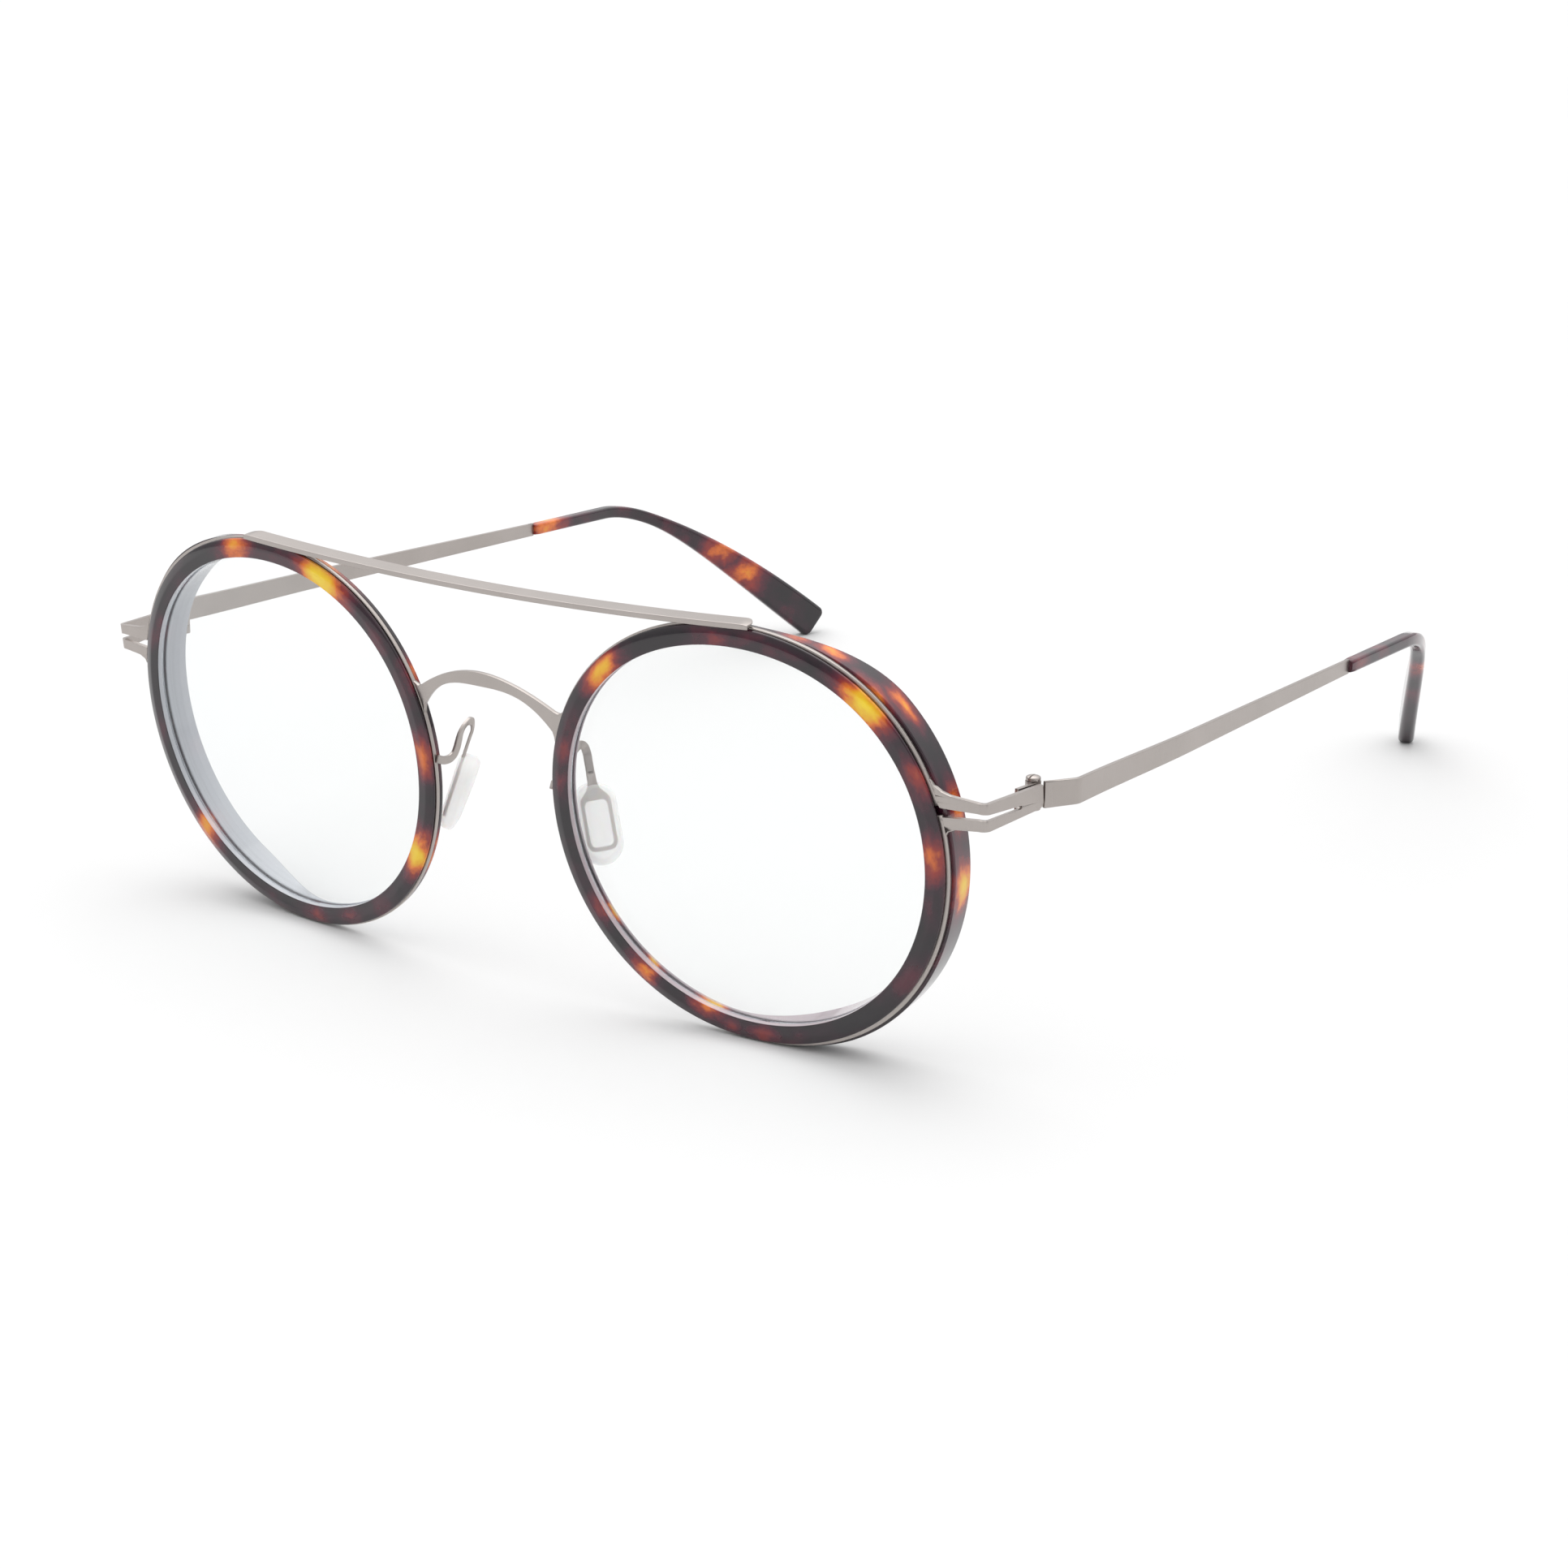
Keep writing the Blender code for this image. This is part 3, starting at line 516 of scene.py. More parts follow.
def fold_back(along, height, offset):
    """Carry a point of the flat end piece round its bend."""
    angle = math.radians(BEND_ANGLE)
    radius = BEND_RADIUS - (SHEET / 2 - offset)
    turned = min(max(along - BEND_START, 0) / BEND_RADIUS, angle)
    past = along - BEND_START - turned * BEND_RADIUS
    x = min(along, BEND_START) + radius * math.sin(turned)
    y = BAND_FRONT + BEND_RADIUS - radius * math.cos(turned)
    if along > BEND_START:
        x += past * math.cos(angle)
        y += past * math.sin(angle)
    return (x, y, height)


def end_piece():
    mesh = sheet("end_piece", [soften(end_piece_outline(), PLATE_SOFT, 2)], SHEET)
    length = BEND_RADIUS * math.radians(BEND_ANGLE)
    slice_mesh(mesh, [BEND_START + length * k / BEND_CUTS for k in range(BEND_CUTS + 1)])
    bend_mesh(mesh, fold_back)
    return fixed_normals(mesh)


def hinge_matrix():
    return Matrix.Translation(HINGE) @ Matrix.Rotation(math.radians(HINGE_TILT), 4, "X")


def leaf_outline(direction, face, reach):
    """Barrel with a straight leaf running off it, seen along the hinge axis."""
    along = Vector((math.cos(direction), math.sin(direction)))
    out = Vector((along.y, -along.x))
    if out.x < 0:
        out = -out
    facing = math.atan2(out.y, out.x)
    sweep = math.copysign(1, math.sin(direction))
    near = face - LEAF
    outer = math.acos(face / BARREL)
    inner = math.acos(near / BARREL)
    start = facing + sweep * outer
    arc = [start - sweep * (math.tau - inner + outer) * k / ROUND_STEPS for k in range(ROUND_STEPS + 1)]
    points = [(BARREL * math.cos(turn), BARREL * math.sin(turn)) for turn in arc]
    ends = [near * out + reach * along, face * out + reach * along]
    return points + [tuple(point) for point in ends]


def raised(mesh, height):
    mesh.transform(Matrix.Translation((0, 0, height)))
    return mesh


def front_hinge():
    """Leaf on the end piece with a barrel above and below the temple's own."""
    plate = math.radians(BEND_ANGLE + WRAP) - math.pi
    knuckle = [leaf_outline(plate, LEAF_FACE, FRONT_LEAF), circle(BORE)]
    tall = KNUCKLES - MIDDLE
    upper = raised(sheet("upper", knuckle, tall), MIDDLE + tall / 2)
    short = tall - (KNUCKLES + LEAF_LOW)
    lower = raised(sheet("lower", knuckle, short), -MIDDLE - short / 2)
    rest = tall - short
    barrel = raised(sheet("barrel", [circle(BARREL), circle(BORE)], rest), -KNUCKLES + rest / 2)
    return join("front_hinge", [upper, lower, barrel])


def temple_hinge():
    flare = math.radians(90 - FLARE)
    height = 2 * (MIDDLE - SLIP)
    return sheet("temple_hinge", [leaf_outline(flare, LEAF_FACE, TEMPLE_LEAF), circle(BORE)], height)


def hinge_screw():
    """Shank and two half domes left by the drive slot."""
    low = KNUCKLES + SLIP
    end = -KNUCKLES - SHANK_PAST
    parts = [raised(sheet("shank", [circle(SHANK)], low - end), (low + end) / 2)]
    chamfer_in, chamfer_up = HEAD_CHAMFER
    profile = [(HEAD - chamfer_in, 0), (HEAD, chamfer_up), (HEAD, HEAD_SIDE)]
    for angle in (math.radians(angle) for angle in DOME_ANGLES):
        profile.append((HEAD * math.cos(angle), HEAD_SIDE + HEAD_RISE * math.sin(angle)))
    for sign in (1, -1):
        sections = []
        for radius, rise in profile:
            edge = math.acos(DRIVE_WIDTH / 2 / radius)
            arc = [edge * (2 * k / HEAD_STEPS - 1) for k in range(HEAD_STEPS + 1)]
            sections.append([(sign * radius * math.cos(t), radius * math.sin(t), low + rise) for t in arc])
        parts.append(loft("half", sections))
    floor = HEAD_SIDE + HEAD_RISE - DRIVE_DEPTH
    parts.append(raised(sheet("core", [circle(HEAD * CORE_SHARE)], floor), low + floor / 2))
    return join("hinge_screw", parts)


def strip_side(y):
    """Outer face of the long run, with its slight outward bow."""
    return STRIP_OFFSET + STRIP_DRIFT * y + STRIP_BOW * ease(y, *BOW_SPAN)


def strip_path():
    """Outer face of the temple strip seen from above: flare, rounded kink, long run."""
    flare = math.radians(90 - FLARE)
    ahead = Vector((math.cos(flare), math.sin(flare)))
    out = Vector((ahead.y, -ahead.x))
    start = STRIP_FACE * out + STRIP_START * ahead
    run = Vector((STRIP_DRIFT, 1)).normalized()
    corner_y = (STRIP_OFFSET - start.x + start.y * ahead.x / ahead.y) / (ahead.x / ahead.y - STRIP_DRIFT)
    corner = Vector((STRIP_OFFSET + STRIP_DRIFT * corner_y, corner_y))
    setback = KINK_RADIUS * math.tan(ahead.angle(run) / 2)
    points = [start]
    for share in np.linspace(0, 1, KINK_STEPS + 1):
        first = corner - ahead * setback * (1 - share)
        second = corner + run * setback * share
        points.append(first.lerp(second, share))
    for y in np.linspace(RUN_START, STRIP_LENGTH, RUN_STEPS):
        points.append(Vector((strip_side(y), y)))
    return points


def strip_section(path, k):
    before = path[max(k - 1, 0)]
    after = path[min(k + 1, len(path) - 1)]
    along = (after - before).normalized()
    share = min(max(path[k].y / STRIP_LENGTH, 0), 1)
    half = STRIP_HALF[0] + share * (STRIP_HALF[1] - STRIP_HALF[0])
    corners = soften(((0, -half), (SHEET, -half), (SHEET, half), (0, half)), STRIP_EDGE)
    points = []
    for inwards, z in corners:
        point = path[k] + Vector((-along.y, along.x)) * inwards
        points.append((point.x, point.y, STRIP_Z + z))
    return points


def core_section(along):
    """Narrower tail of the strip inside the tip."""
    outer = strip_side(along)
    outline = ((0, -CORE_HALF), (SHEET, -CORE_HALF), (SHEET, CORE_HALF), (0, CORE_HALF))
    corners = soften(outline, STRIP_EDGE)
    return [(outer - inwards, along, STRIP_Z + z) for inwards, z in corners]


def temple():
    path = strip_path()
    sections = [strip_section(path, k) for k in range(len(path))]
    sections.append(core_section(STRIP_LENGTH))
    sections.append(core_section(STRIP_LENGTH + CORE_LENGTH))
    return loft("temple", sections)


def tip_line():
    """Middle of the tip: straight, then curving down and in behind the ear."""
    line = []
    for share in np.linspace(0, 1, STRAIGHT_STEPS):
        y = TIP_START + share * (TIP_KNEE - TIP_START)
        line.append(Vector((strip_side(y) - SHEET / 2 * (1 - share), y, STRIP_Z)))
    knee = line[-1]
    lead = knee + Vector(TIP_HANDLES[0])
    sweep, end = (Vector(handle) for handle in TIP_HANDLES[1:])
    for k in range(1, TIP_STEPS + 1):
        t = k / TIP_STEPS
        point = (1 - t) ** 3 * knee + 3 * (1 - t) ** 2 * t * lead + 3 * (1 - t) * t * t * sweep + t ** 3 * end
        line.append(point)
    return line


def tip_share(line, k):
    """Place along the tip, with the straight part taking its own share of the stations."""
    straight = len(line) - 1 - TIP_STEPS
    if k <= straight:
        return TIP_STRAIGHT * k / straight
    return TIP_STRAIGHT + (1 - TIP_STRAIGHT) * (k - straight) / TIP_STEPS


def tip_section(line, k, closing):
    along = (line[min(k + 1, len(line) - 1)] - line[max(k - 1, 0)]).normalized()
    side = along.cross(Vector((0, 0, 1))).normalized()
    rise = side.cross(along)
    share = tip_share(line, k)
    bend = ease(share, *TIP_WIDENS)
    flare = ease(share, *TIP_FLARES)
    half = TIP_HALF[0] + bend * (TIP_HALF[1] - TIP_HALF[0]) + flare * (TIP_HALF[2] - TIP_HALF[1])
    thick = TIP_THICK[0] + share * (TIP_THICK[1] - TIP_THICK[0])
    outline = rounded(thick * closing, half * closing, min(thick * 0.7, half * 0.5) * closing, 6)
    return [line[k] + side * x + rise * z for x, z in outline]


def temple_tip():
    line = tip_line()
    last = len(line) - 1
    sections = [tip_section(line, 0, closing) for closing in TIP_MOUTH]
    sections += [tip_section(line, k, 1) for k in range(1, last + 1)]
    onward = (line[-1] - line[-2]).normalized()
    for angle in (math.radians(angle) for angle in CAP_ANGLES):
        offset = onward * TIP_CAP * math.sin(angle)
        closing = 1 - TIP_CLOSING * (1 - math.cos(angle))
        sections.append([point + offset for point in tip_section(line, last, closing)])
    return loft("temple_tip", sections)


def bridge_height(spec, x):
    middle, side, reach, power = spec
    return middle - (middle - side) * (abs(x) / reach) ** power


def band_side(height):
    """Distance from the middle of the face of the band's nose-side edge."""
    turn = math.pi - math.asin(height / BAND_OUTER[0])
    for _ in range(6):
        turn = math.pi - math.asin(height / (BAND_OUTER[0] + ring_swell(turn)))
    x = (BAND_OUTER[0] + ring_swell(turn)) * math.cos(turn)
    return RING_X + x * math.cos(math.radians(WRAP)) - BAND_FRONT * math.sin(math.radians(WRAP))


def bridge_outline():
    top = [(x, bridge_height(BRIDGE_TOP, x)) for x in np.linspace(0, 10.2, 24)]
    end = [(band_side(z), z) for z in (11.4, 10.6, 9.8, 9.0, 8.2, 7.5)]
    low = [(x, bridge_height(BRIDGE_LOW, x)) for x in np.linspace(9.85, 0, 24)]
    half = top + [(10.75, 10.98)] + end + [(10.02, 8.15)] + low
    other = [(-x, z) for x, z in reversed(half[1:-1])]
    return half + other


def bow_bridge(x, height, offset):
    bow = BRIDGE_BOW * (1 - min(abs(x) / BRIDGE_REACH, 1) ** 2)
    return (x, BRIDGE_FRONT + SHEET / 2 - offset - bow, height)


def nose_bridge():
    mesh = sheet("nose_bridge", [bridge_outline()], SHEET)
    slice_mesh(mesh, np.linspace(-10, 10, BRIDGE_CUTS))
    bend_mesh(mesh, bow_bridge)
    return fixed_normals(mesh)


def bar_section(x):
    """L of web and rear flange, drawn in to the web alone at the bar's rounded ends."""
    share = 1 - (x / BAR_HALF) ** 2
    y = BAR_FRONT - BAR_BOW * share
    sag = BAR_SAG * share
    low, high = BAR_WEB
    past = max(abs(x) - BAR_HALF + BAR_ROUND, 0) / BAR_ROUND
    closing = 1 - math.sqrt(1 - BAR_CLOSING * past ** 2)
    rear = BAR_BACK - BAR_FRONT
    rear -= closing * (rear - SHEET)
    top = high - BAR_DROP * closing
    profile = (
        (0, low), (SHEET, low), (SHEET, high - BAR_FLANGE),
        (rear, high - BAR_FLANGE), (rear, top), (0, top),
    )
    return [(x, y + back, z - sag) for back, z in soften(profile, BAR_EDGE)]


def brow_bar():
    straight = BAR_HALF - BAR_ROUND
    places = list(np.linspace(-straight, straight, BAR_STEPS + 1))
    ends = [straight + BAR_ROUND * share for share in (0.2, 0.4, 0.55, 0.7, 0.8, 0.9, 0.96, 1)]
    places = [-x for x in reversed(ends)] + places + ends
    return loft("brow_bar", [bar_section(x) for x in places])


def pad_matrix():
    """Pad frame: x down the pad, y across it, z away from the nose."""
    down = Vector(PAD_DOWN).normalized()
    across = Vector(PAD_ACROSS)
    across = (across - across.dot(down) * down).normalized()
    away = down.cross(across)
    matrix = Matrix((down, across, away)).transposed().to_4x4()
    matrix.translation = PAD_CENTRE
    return matrix


def smooth_run(points, cuts):
    """Denser points on a smooth curve through the given ones."""
    dense = []
    count = len(points)
    for k in range(count - 1):
        before, start = points[max(k - 1, 0)], points[k]
        end, after = points[k + 1], points[min(k + 2, count - 1)]
        for cut in range(cuts):
            t = cut / cuts
            bend = (2 * start + (end - before) * t + (2 * before - 5 * start + 4 * end - after) * t * t
                    + (3 * start - before - 3 * end + after) * t ** 3)
            dense.append(bend / 2)
    return dense


def arm_strip():
    """Hooked strip from the band to the neck of the plate, with softened edges."""
    place = pad_matrix()
    facing = place.to_3x3() @ Vector((0, 0, 1))
    run = [Vector(point) for point in ARM_RUN]
    run += [place @ Vector((-above, 0, 0)) for above in NECK]
    dense = smooth_run(run, ARM_CUTS) + [run[-1]]
    sections = []
    for k, point in enumerate(dense):
        along = dense[min(k + 1, len(dense) - 1)] - dense[max(k - 1, 0)]
        normal = Vector((1, 0, 0)).lerp(facing, ease(k / ARM_CUTS, *ARM_TURN))
        side = along.cross(normal).normalized()
        normal = side.cross(along).normalized()
        corners = soften(((-1, -1), (1, -1), (1, 1), (-1, 1)), ARM_EDGE)
        sections.append([point + side * ARM_HALF * a + normal * (ARM_SHEET / 2 * b) for a, b in corners])
    return loft("arm_strip", sections)


def plate_outline():
    """Window plate with round lower corners, drawn in smoothly to its neck."""
    length, width = PLATE_HALF
    half = rounded(length, width, PLATE_CORNER, CORNER_STEPS)[:CORNER_STEPS + 1]
    half += [
        (-length + 0.7, width), (-length + 0.25, width - 0.1), (-length - 0.2, width - 0.5),
        (-length - 0.6, 0.98), (-length - 1.0, 0.7), (-length - 1.5, ARM_HALF + 0.04),
        (-NECK[-1] - 0.3, ARM_HALF),
    ]
    return half + [(x, -y) for x, y in reversed(half)]


def pad_arm():
    """Hooked strip from the band down to the window plate that carries the pad."""
    window = rounded(*WINDOW_HALF, WINDOW_CORNER, CORNER_STEPS)
    plate = sheet("plate", [soften(plate_outline(), PLATE_EDGE, 4), window], ARM_SHEET)
    plate.transform(pad_matrix())
    return join("pad_arm", [arm_strip(), plate])


def nose_pad():
    """Soft rounded pad lying on the nose side of its plate, thinner towards its lower end."""
    outline = rounded(PAD_HALF[0] - PAD_ROUND, PAD_HALF[1] - PAD_ROUND, PAD_CORNER, PAD_STEPS)
    mesh = sheet("nose_pad", [outline], 2 * PAD_FLAT, PAD_ROUND)
    for vertex in mesh.vertices:
        lean = ease(vertex.co.x, 0, PAD_HALF[0])
        if vertex.co.z < 0:
            vertex.co.z *= 1 - PAD_THINS * lean
    mesh.transform(pad_matrix() @ Matrix.Translation((0, 0, PAD_BACK)))
    return mesh


def new_material(name):
    paint = bpy.data.materials.new(name)
    paint.use_nodes = True
    return paint, paint.node_tree.nodes, paint.node_tree.links


def add_node(nodes, kind, **settings):
    node = nodes.new(kind)
    for key, value in settings.items():
        setattr(node, key, value)
    return node


def noise(nodes, links, source, scale, detail, rough=0.55):
    node = add_node(nodes, "ShaderNodeTexNoise")
    node.inputs["Scale"].default_value = scale
    node.inputs["Detail"].default_value = detail
    node.inputs["Roughness"].default_value = rough
    links.new(source, node.inputs["Vector"])
    return node


def ramp(nodes, links, source, stops):
    node = add_node(nodes, "ShaderNodeValToRGB")
    elements = node.color_ramp.elements
    while len(elements) < len(stops):
        elements.new(0.5)
    for element, (place, colour) in zip(elements, stops):
        element.position = place
        element.color = (*colour, 1)
    links.new(source, node.inputs["Fac"])
    return node.outputs["Color"]


def span(nodes, links, source, old, new):
    node = add_node(nodes, "ShaderNodeMapRange")
    node.inputs["From Min"].default_value, node.inputs["From Max"].default_value = old
    node.inputs["To Min"].default_value, node.inputs["To Max"].default_value = new
    links.new(source, node.inputs["Value"])
    return node.outputs["Result"]


def bump(nodes, links, height, strength, distance):
    node = add_node(nodes, "ShaderNodeBump")
    node.inputs["Strength"].default_value = strength
    node.inputs["Distance"].default_value = distance
    links.new(height, node.inputs["Height"])
    return node.outputs["Normal"]


def stretched(nodes, links, scale=(1, 1, 1)):
    """Object coordinates, drawn out along an axis where its scale is under 1."""
    coordinate = add_node(nodes, "ShaderNodeTexCoord")
    mapping = add_node(nodes, "ShaderNodeMapping")
    mapping.inputs["Scale"].default_value = scale
    links.new(coordinate.outputs["Object"], mapping.inputs["Vector"])
    return mapping.outputs["Vector"]


def steel(name, grain):
    """Satin gunmetal sheet with a fine rolled grain and slight clouding."""
    paint, nodes, links = new_material(name)
    shader = nodes["Principled BSDF"]
    shader.inputs["Metallic"].default_value = 1
    place = stretched(nodes, links)
    cloud = noise(nodes, links, place, 90, 2)
    tint = ramp(nodes, links, cloud.outputs["Fac"], STEEL_STOPS)
    links.new(tint, shader.inputs["Base Color"])
    brushed = noise(nodes, links, stretched(nodes, links, grain), 9000, 4, 0.7)
    rough = span(nodes, links, brushed.outputs["Fac"], MIDDLE_TONES, (0.27, 0.40))
    links.new(rough, shader.inputs["Roughness"])
    links.new(bump(nodes, links, brushed.outputs["Fac"], 0.25, 0.00001), shader.inputs["Normal"])
    return paint


def math_node(nodes, links, operation, *values):
    """Math node fed with sockets or plain numbers."""
    node = add_node(nodes, "ShaderNodeMath", operation=operation)
    for socket, value in zip(node.inputs, values):
        if isinstance(value, (int, float)):
            socket.default_value = value
        else:
            links.new(value, socket)
    return node.outputs[0]


def unrolled(nodes, links, place, side):
    """Ring coordinates laid out straight: along the rim, outwards, and depth, in metres."""
    split = add_node(nodes, "ShaderNodeSeparateXYZ")
    links.new(place, split.inputs["Vector"])
    x, y, z = split.outputs
    start = math.radians(SEAM)
    along_x = math_node(nodes, links, "MULTIPLY", x, side)
    turned_x = math_node(nodes, links, "MULTIPLY_ADD", along_x, math.cos(start),
                         math_node(nodes, links, "MULTIPLY", z, math.sin(start)))
    turned_z = math_node(nodes, links, "MULTIPLY_ADD", z, math.cos(start),
                         math_node(nodes, links, "MULTIPLY", along_x, -math.sin(start)))
    angle = math_node(nodes, links, "ARCTAN2", turned_z, turned_x)
    run = math_node(nodes, links, "MULTIPLY", angle, RIM_CREASE * MM * STREAK)
    across = math_node(nodes, links, "SQRT", math_node(
        nodes, links, "ADD", math_node(nodes, links, "POWER", x, 2), math_node(nodes, links, "POWER", z, 2)))
    joined = add_node(nodes, "ShaderNodeCombineXYZ")
    for value, socket in zip((run, across, y), joined.inputs):
        links.new(value, socket)
    return joined.outputs["Vector"]


def inner_wall(nodes, links):
    """One where the surface faces the middle of the ring, else zero; it places the painted reflection of the
    inner wall.
    """
    coordinate = add_node(nodes, "ShaderNodeTexCoord")
    outwards = add_node(nodes, "ShaderNodeVectorMath", operation="MULTIPLY")
    outwards.inputs[1].default_value = (1, 0, 1)
    links.new(coordinate.outputs["Object"], outwards.inputs[0])
    unit = add_node(nodes, "ShaderNodeVectorMath", operation="NORMALIZE")
    links.new(outwards.outputs[0], unit.inputs[0])
    facing = add_node(nodes, "ShaderNodeVectorMath", operation="DOT_PRODUCT")
    links.new(unit.outputs[0], facing.inputs[0])
    links.new(coordinate.outputs["Normal"], facing.inputs[1])
    return span(nodes, links, facing.outputs["Value"], (-0.7, -0.97), (0, 1))


def acetate(name, spots, side=0):
    """Polished tortoiseshell: warm patches with maroon borders in near-black.

    On a rim, side is 1 for the left and -1 for the right, and on a tip it is 0; on a rim the inner wall is
    also given a pale painted reflection.
    """
    paint, nodes, links = new_material(name)
    shader = nodes["Principled BSDF"]
    plain = stretched(nodes, links)
    place = unrolled(nodes, links, plain, side) if side else stretched(nodes, links, (1, STREAK, 1))
    warp = noise(nodes, links, place, 420, 4, 0.6)
    lean = add_node(nodes, "ShaderNodeVectorMath", operation="MULTIPLY_ADD")
    lean.inputs[1].default_value = (WARP, WARP, WARP)
    links.new(warp.outputs["Color"], lean.inputs[0])
    links.new(place, lean.inputs[2])
    heat = span(nodes, links, noise(nodes, links, place, 230, 3).outputs["Fac"], (0.45, 0.75), (0, 0.4))
    for x, y, z, reach, warmth in spots:
        away = add_node(nodes, "ShaderNodeVectorMath", operation="DISTANCE")
        away.inputs[1].default_value = [value * MM + WARP / 2 for value in (x, y, z)]
        links.new(lean.outputs[0], away.inputs[0])
        glow = add_node(nodes, "ShaderNodeMapRange", interpolation_type="SMOOTHSTEP")
        glow.inputs["From Min"].default_value = reach * SPREAD * MM
        glow.inputs["From Max"].default_value = 0
        glow.inputs["To Max"].default_value = warmth
        links.new(away.outputs["Value"], glow.inputs["Value"])
        heat = math_node(nodes, links, "MAXIMUM", heat, glow.outputs["Result"])
    colour = ramp(nodes, links, heat, ACETATE_STOPS)
    if side:
        # Painted reflection: the inner wall is blended towards a pale colour that stands in for the light it
        # reflects.
        blend = add_node(nodes, "ShaderNodeMix", data_type="RGBA")
        haze = math_node(nodes, links, "MULTIPLY", inner_wall(nodes, links), WALL_REFLECTION)
        links.new(haze, blend.inputs["Factor"])
        links.new(colour, blend.inputs[6])
        blend.inputs[7].default_value = (*WALL_REFLECTION_TINT[side], 1)
        colour = blend.outputs[2]
    links.new(colour, shader.inputs["Base Color"])
    wipe = noise(nodes, links, plain, 900, 3)
    rough = span(nodes, links, wipe.outputs["Fac"], MIDDLE_TONES, (0.07, 0.15))
    links.new(rough, shader.inputs["Roughness"])
    links.new(bump(nodes, links, warp.outputs["Fac"], 0.12, 0.0001), shader.inputs["Normal"])
    shader.inputs["IOR"].default_value = 1.5
    shader.inputs["Coat Weight"].default_value = 0.35
    shader.inputs["Coat Roughness"].default_value = 0.03
    return paint


def lens_clear(name):
    """Clear plastic with a faint cool coating."""
    paint, nodes, links = new_material(name)
    nodes.remove(nodes["Principled BSDF"])
    clear = add_node(nodes, "ShaderNodeBsdfTransparent")
    clear.inputs["Color"].default_value = (0.985, 0.99, 0.988, 1)
    gloss = add_node(nodes, "ShaderNodeBsdfGlossy")
    place = stretched(nodes, links)
    smear = noise(nodes, links, place, 140, 4)
    tint = ramp(nodes, links, smear.outputs["Fac"], COATING_STOPS)
    links.new(tint, gloss.inputs["Color"])
    rough = span(nodes, links, smear.outputs["Fac"], MIDDLE_TONES, (0.01, 0.05))
    links.new(rough, gloss.inputs["Roughness"])
    facing = add_node(nodes, "ShaderNodeLayerWeight")
    facing.inputs["Blend"].default_value = 0.5
    grazing = math_node(nodes, links, "POWER", facing.outputs["Facing"], 4)
    mix = add_node(nodes, "ShaderNodeMixShader")
    links.new(span(nodes, links, grazing, (0, 1), (0.02, 0.6)), mix.inputs["Fac"])
    links.new(clear.outputs["BSDF"], mix.inputs[1])
    links.new(gloss.outputs["BSDF"], mix.inputs[2])
    links.new(mix.outputs["Shader"], nodes["Material Output"].inputs["Surface"])
    return paint


def silicone(name):
    """Milky clear silicone, satin on the surface."""
    paint, nodes, links = new_material(name)
    shader = nodes["Principled BSDF"]
    place = stretched(nodes, links)
    haze = noise(nodes, links, place, 420, 3)
    tint = ramp(nodes, links, haze.outputs["Fac"], SILICONE_STOPS)
    links.new(tint, shader.inputs["Base Color"])
    rough = span(nodes, links, haze.outputs["Fac"], MIDDLE_TONES, (0.32, 0.42))
    links.new(rough, shader.inputs["Roughness"])
    fine = noise(nodes, links, place, 5000, 2)
    links.new(bump(nodes, links, fine.outputs["Fac"], 0.15, 0.00002), shader.inputs["Normal"])
    shader.inputs["Alpha"].default_value = 0.42
    shader.inputs["IOR"].default_value = 1.41
    shader.inputs["Subsurface Weight"].default_value = 0.3
    shader.inputs["Subsurface Scale"].default_value = 0.002
    return paint


def ring_spots(spots):
    """Patches in the straightened ring coordinates."""
    places = []
    for angle, radius, depth, reach, warmth in spots:
        turn = (angle - SEAM + 180) % 360 - 180
        swell = ring_swell(math.radians(angle))
        places.append((math.radians(turn) * RIM_CREASE * STREAK, radius + swell, depth, reach, warmth))
    return places


def front_matrix():
    """Place of the resting front, from the hinge pin in the record."""
    pin = next(joint for joint in frame["joints"] if joint["name"] == "temple_left_fold")
    _, y, z = pin["axis"]
    tilt = -math.atan2(y, z) - math.radians(HINGE_TILT)
    turn = Matrix.Rotation(tilt, 4, "X")
    shift = Vector(pin["pos_m"]) - turn @ (Vector(HINGE) * MM)
    return Matrix.Translation(shift) @ turn


def scaled(matrix):
    place = matrix.copy()
    place.translation = place.translation * MM
    return place


def smooth(item, bevel):
    """Round the sharp edges a little and keep flat faces flat in shading."""
    if bevel:
        edge = item.modifiers.new("edges", "BEVEL")
        edge.width = bevel * MM
        edge.segments = 2
        edge.limit_method = "ANGLE"
        edge.angle_limit = math.radians(BEVEL_FROM)
        edge.use_clamp_overlap = True
    item.data.polygons.foreach_set("use_smooth", [True] * len(item.data.polygons))
    item.data.set_sharp_from_angle(angle=math.radians(SHARP_FROM))
    item.modifiers.new("shading", "WEIGHTED_NORMAL")


def add_piece(name, mesh, matrix, paint, body, bevel=0):
    mesh.transform(Matrix.Scale(MM, 4))
    mesh.name = name + "_mesh"
    item = bpy.data.objects.new(name + "_visual", mesh)
    mesh.materials.append(paint)
    bpy.context.scene.collection.objects.link(item)
    item.matrix_world = matrix
    smooth(item, bevel)
    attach(item, body)
    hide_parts(name)


def mirrored(mesh):
    twin = mesh.copy()
    twin.transform(FLIP)
    twin.flip_normals()
    return twin


def add_pair(name, mesh, local, paints, body, bevel=0):
    """Left piece and its mirror image."""
    for side in ("left", "right"):
        left = side == "left"
        shape = mesh.copy() if left else mirrored(mesh)
        place = FRONT @ scaled(local if left else FLIP @ local @ FLIP)
        owner = body if body == "front" else f"temple_{side}_body"
        add_piece(f"{name}_{side}", shape, place, paints[0 if left else 1], owner, bevel)


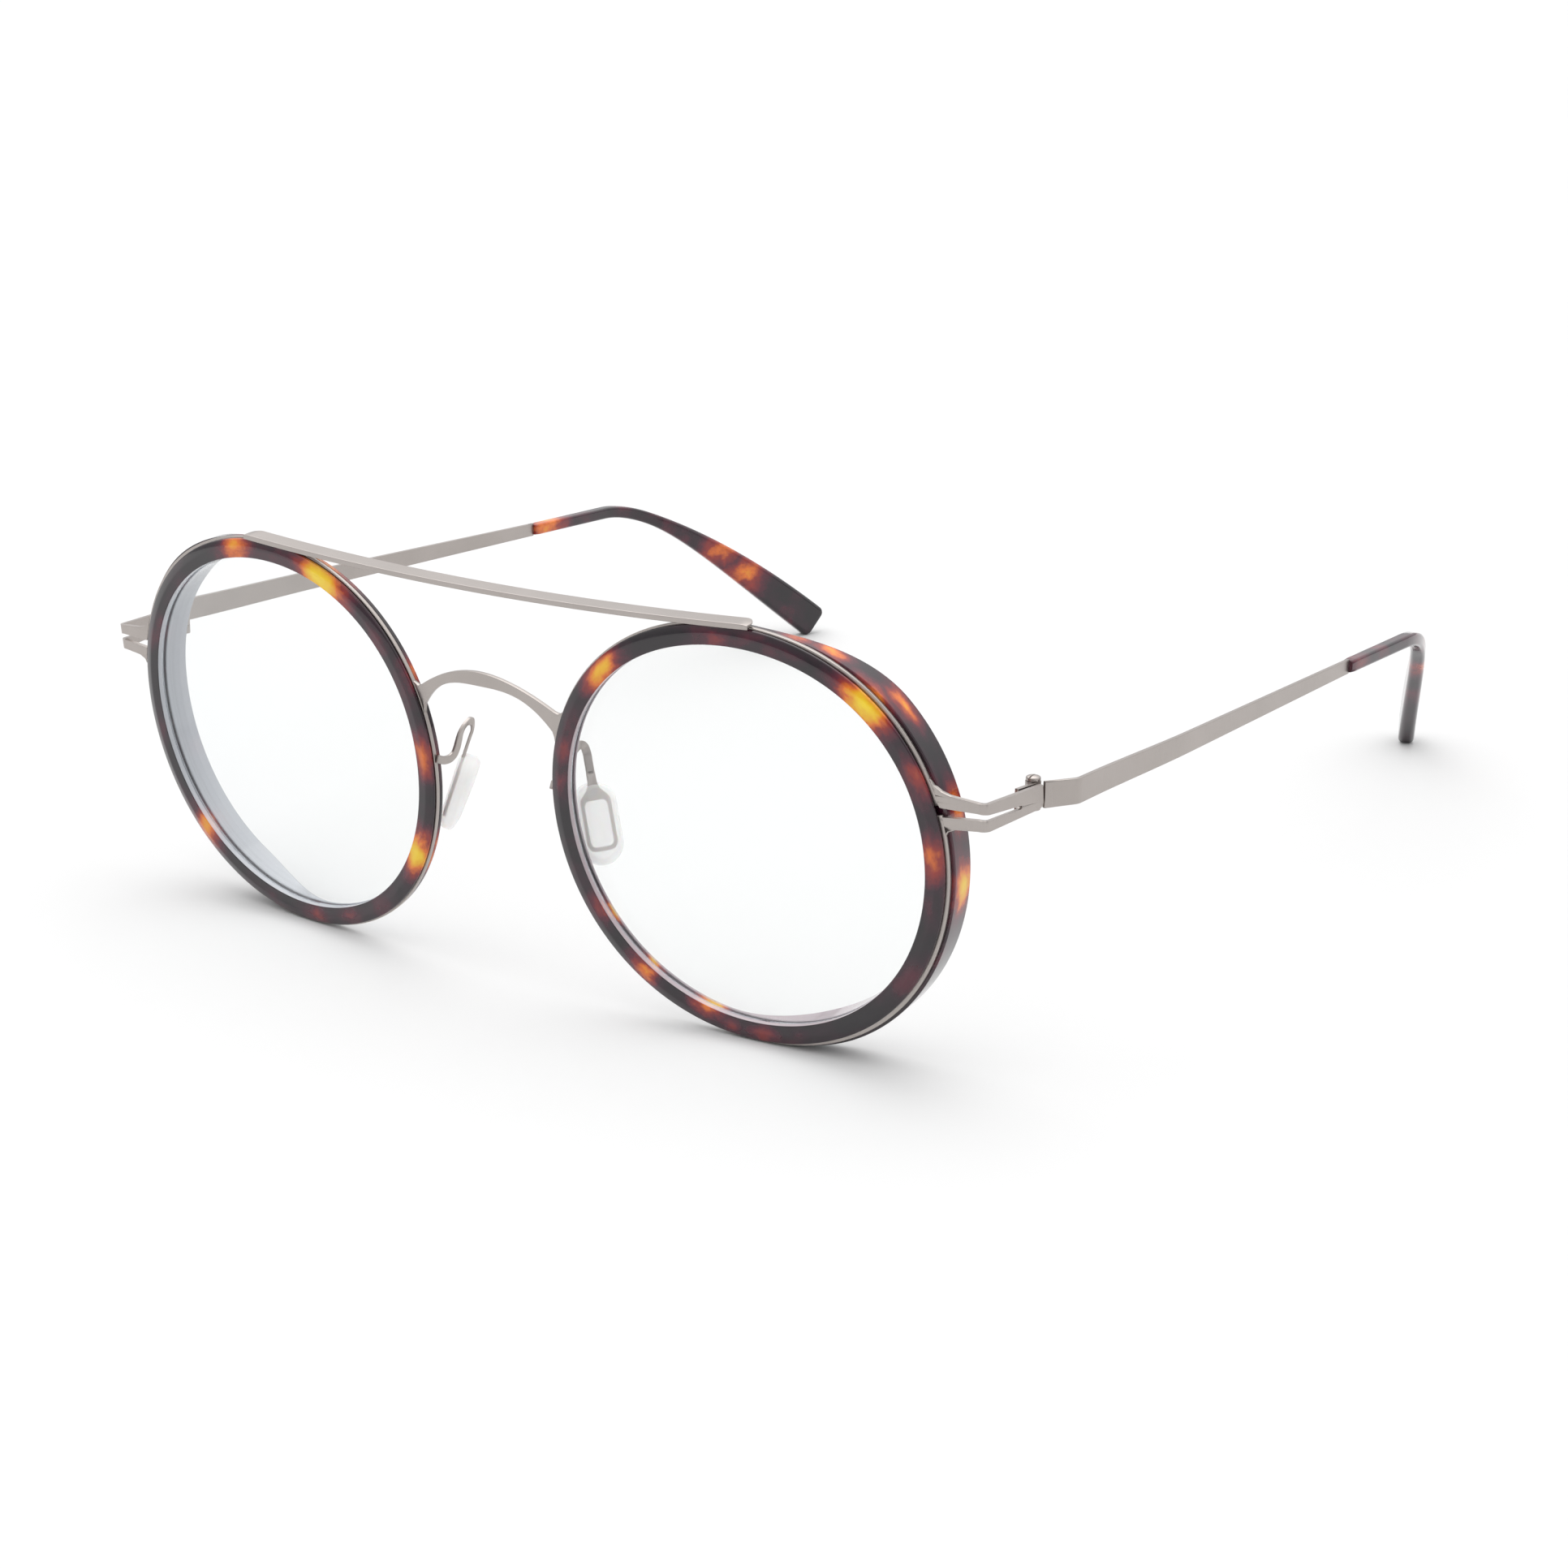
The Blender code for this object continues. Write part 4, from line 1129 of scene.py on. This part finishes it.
def build_front(metal, clear, soft):
    ring = ring_matrix()
    still = Matrix.Identity(4)
    hinge = hinge_matrix()
    shells = (acetate("acetate_left", ring_spots(LEFT_SPOTS), 1),
              acetate("acetate_right", ring_spots(RIGHT_SPOTS), -1))
    add_pair("acetate_rim", acetate_rim(), ring, shells, "front")
    add_pair("rim_band", rim_band(), ring, metal, "front")
    add_pair("lens", lens(), ring, clear, "front")
    add_pair("end_piece", end_piece(), ring, metal, "front", 0.07)
    add_pair("pad_arm", pad_arm(), still, metal, "front", 0.05)
    add_pair("nose_pad", nose_pad(), still, soft, "front")
    add_pair("front_hinge", front_hinge(), hinge, metal, "front", 0.05)
    add_pair("hinge_screw", hinge_screw(), hinge, metal, "front", 0.04)
    add_piece("nose_bridge", nose_bridge(), FRONT, metal[0], "front", 0.08)
    add_piece("brow_bar", brow_bar(), FRONT, metal[0], "front")


def build_temples(metal):
    hinge = hinge_matrix()
    tips = [acetate(name, [(x, y * STREAK, z, reach, warmth) for x, y, z, reach, warmth in spots])
            for name, spots in (("tip_left", LEFT_TIP), ("tip_right", RIGHT_TIP))]
    add_pair("temple", temple(), hinge, metal, "temple")
    add_pair("temple_hinge", temple_hinge(), hinge, metal, "temple", 0.05)
    add_pair("temple_tip", temple_tip(), hinge, tips, "temple")


def floor():
    """Seamless pale floor."""
    bm = bmesh.new()
    bmesh.ops.create_grid(bm, x_segments=4, y_segments=4, size=FLOOR_HALF)
    mesh = finish_mesh("floor", bm)
    paint, nodes, links = new_material("pale_floor")
    shader = nodes["Principled BSDF"]
    shader.inputs["Roughness"].default_value = 0.8
    shader.inputs["Specular IOR Level"].default_value = 0.1
    cloud = noise(nodes, links, stretched(nodes, links), 3, 2)
    tint = ramp(nodes, links, cloud.outputs["Fac"], FLOOR_STOPS)
    links.new(tint, shader.inputs["Base Color"])
    mesh.materials.append(paint)
    item = bpy.data.objects.new("floor", mesh)
    bpy.context.scene.collection.objects.link(item)


def light_world():
    """Bright soft dome, dimmer low down and on the side the front of the frame faces."""
    world = bpy.data.worlds.new("studio")
    bpy.context.scene.world = world
    world.use_nodes = True
    nodes, links = world.node_tree.nodes, world.node_tree.links
    sky = nodes["Background"]
    place = add_node(nodes, "ShaderNodeTexCoord")
    split = add_node(nodes, "ShaderNodeSeparateXYZ")
    links.new(place.outputs["Generated"], split.inputs["Vector"])
    links.new(ramp(nodes, links, split.outputs["Z"], SKY_STOPS), sky.inputs["Color"])
    front = add_node(nodes, "ShaderNodeVectorMath", operation="DOT_PRODUCT")
    front.inputs[1].default_value = Vector(DIM_SIDE).normalized()
    links.new(place.outputs["Generated"], front.inputs[0])
    strength = span(nodes, links, front.outputs["Value"], (0.35, 0.95), (1.05, 0.62))
    links.new(strength, sky.inputs["Strength"])


def add_sun(name, direction, strength, angle):
    light = bpy.data.lights.new(name, "SUN")
    light.energy = strength
    light.angle = math.radians(angle)
    item = bpy.data.objects.new(name, light)
    item.rotation_euler = Vector(direction).to_track_quat("Z", "Y").to_euler()
    bpy.context.scene.collection.objects.link(item)


def camera():
    data = bpy.data.cameras.new("camera")
    data.lens = FOCAL
    data.sensor_width = SENSOR
    data.clip_start = NEAR
    item = bpy.data.objects.new("camera", data)
    right, up = Vector(EYE_RIGHT), Vector(EYE_UP)
    place = Matrix((right, up, right.cross(up))).transposed().to_4x4()
    place.translation = Vector(EYE) * MM
    item.matrix_world = FRONT @ place
    bpy.context.scene.collection.objects.link(item)
    bpy.context.scene.camera = item


FRONT = front_matrix()
camera()
floor()
light_world()
add_sun("key", SUN_FROM, SUN_STRENGTH, SUN_SPREAD)
metal = (steel("steel", (1, 1, 0.06)),) * 2
build_front(metal, (lens_clear("lens_clear"),) * 2, (silicone("silicone"),) * 2)
build_temples(metal)
bpy.context.scene.view_settings.view_transform = "Standard"
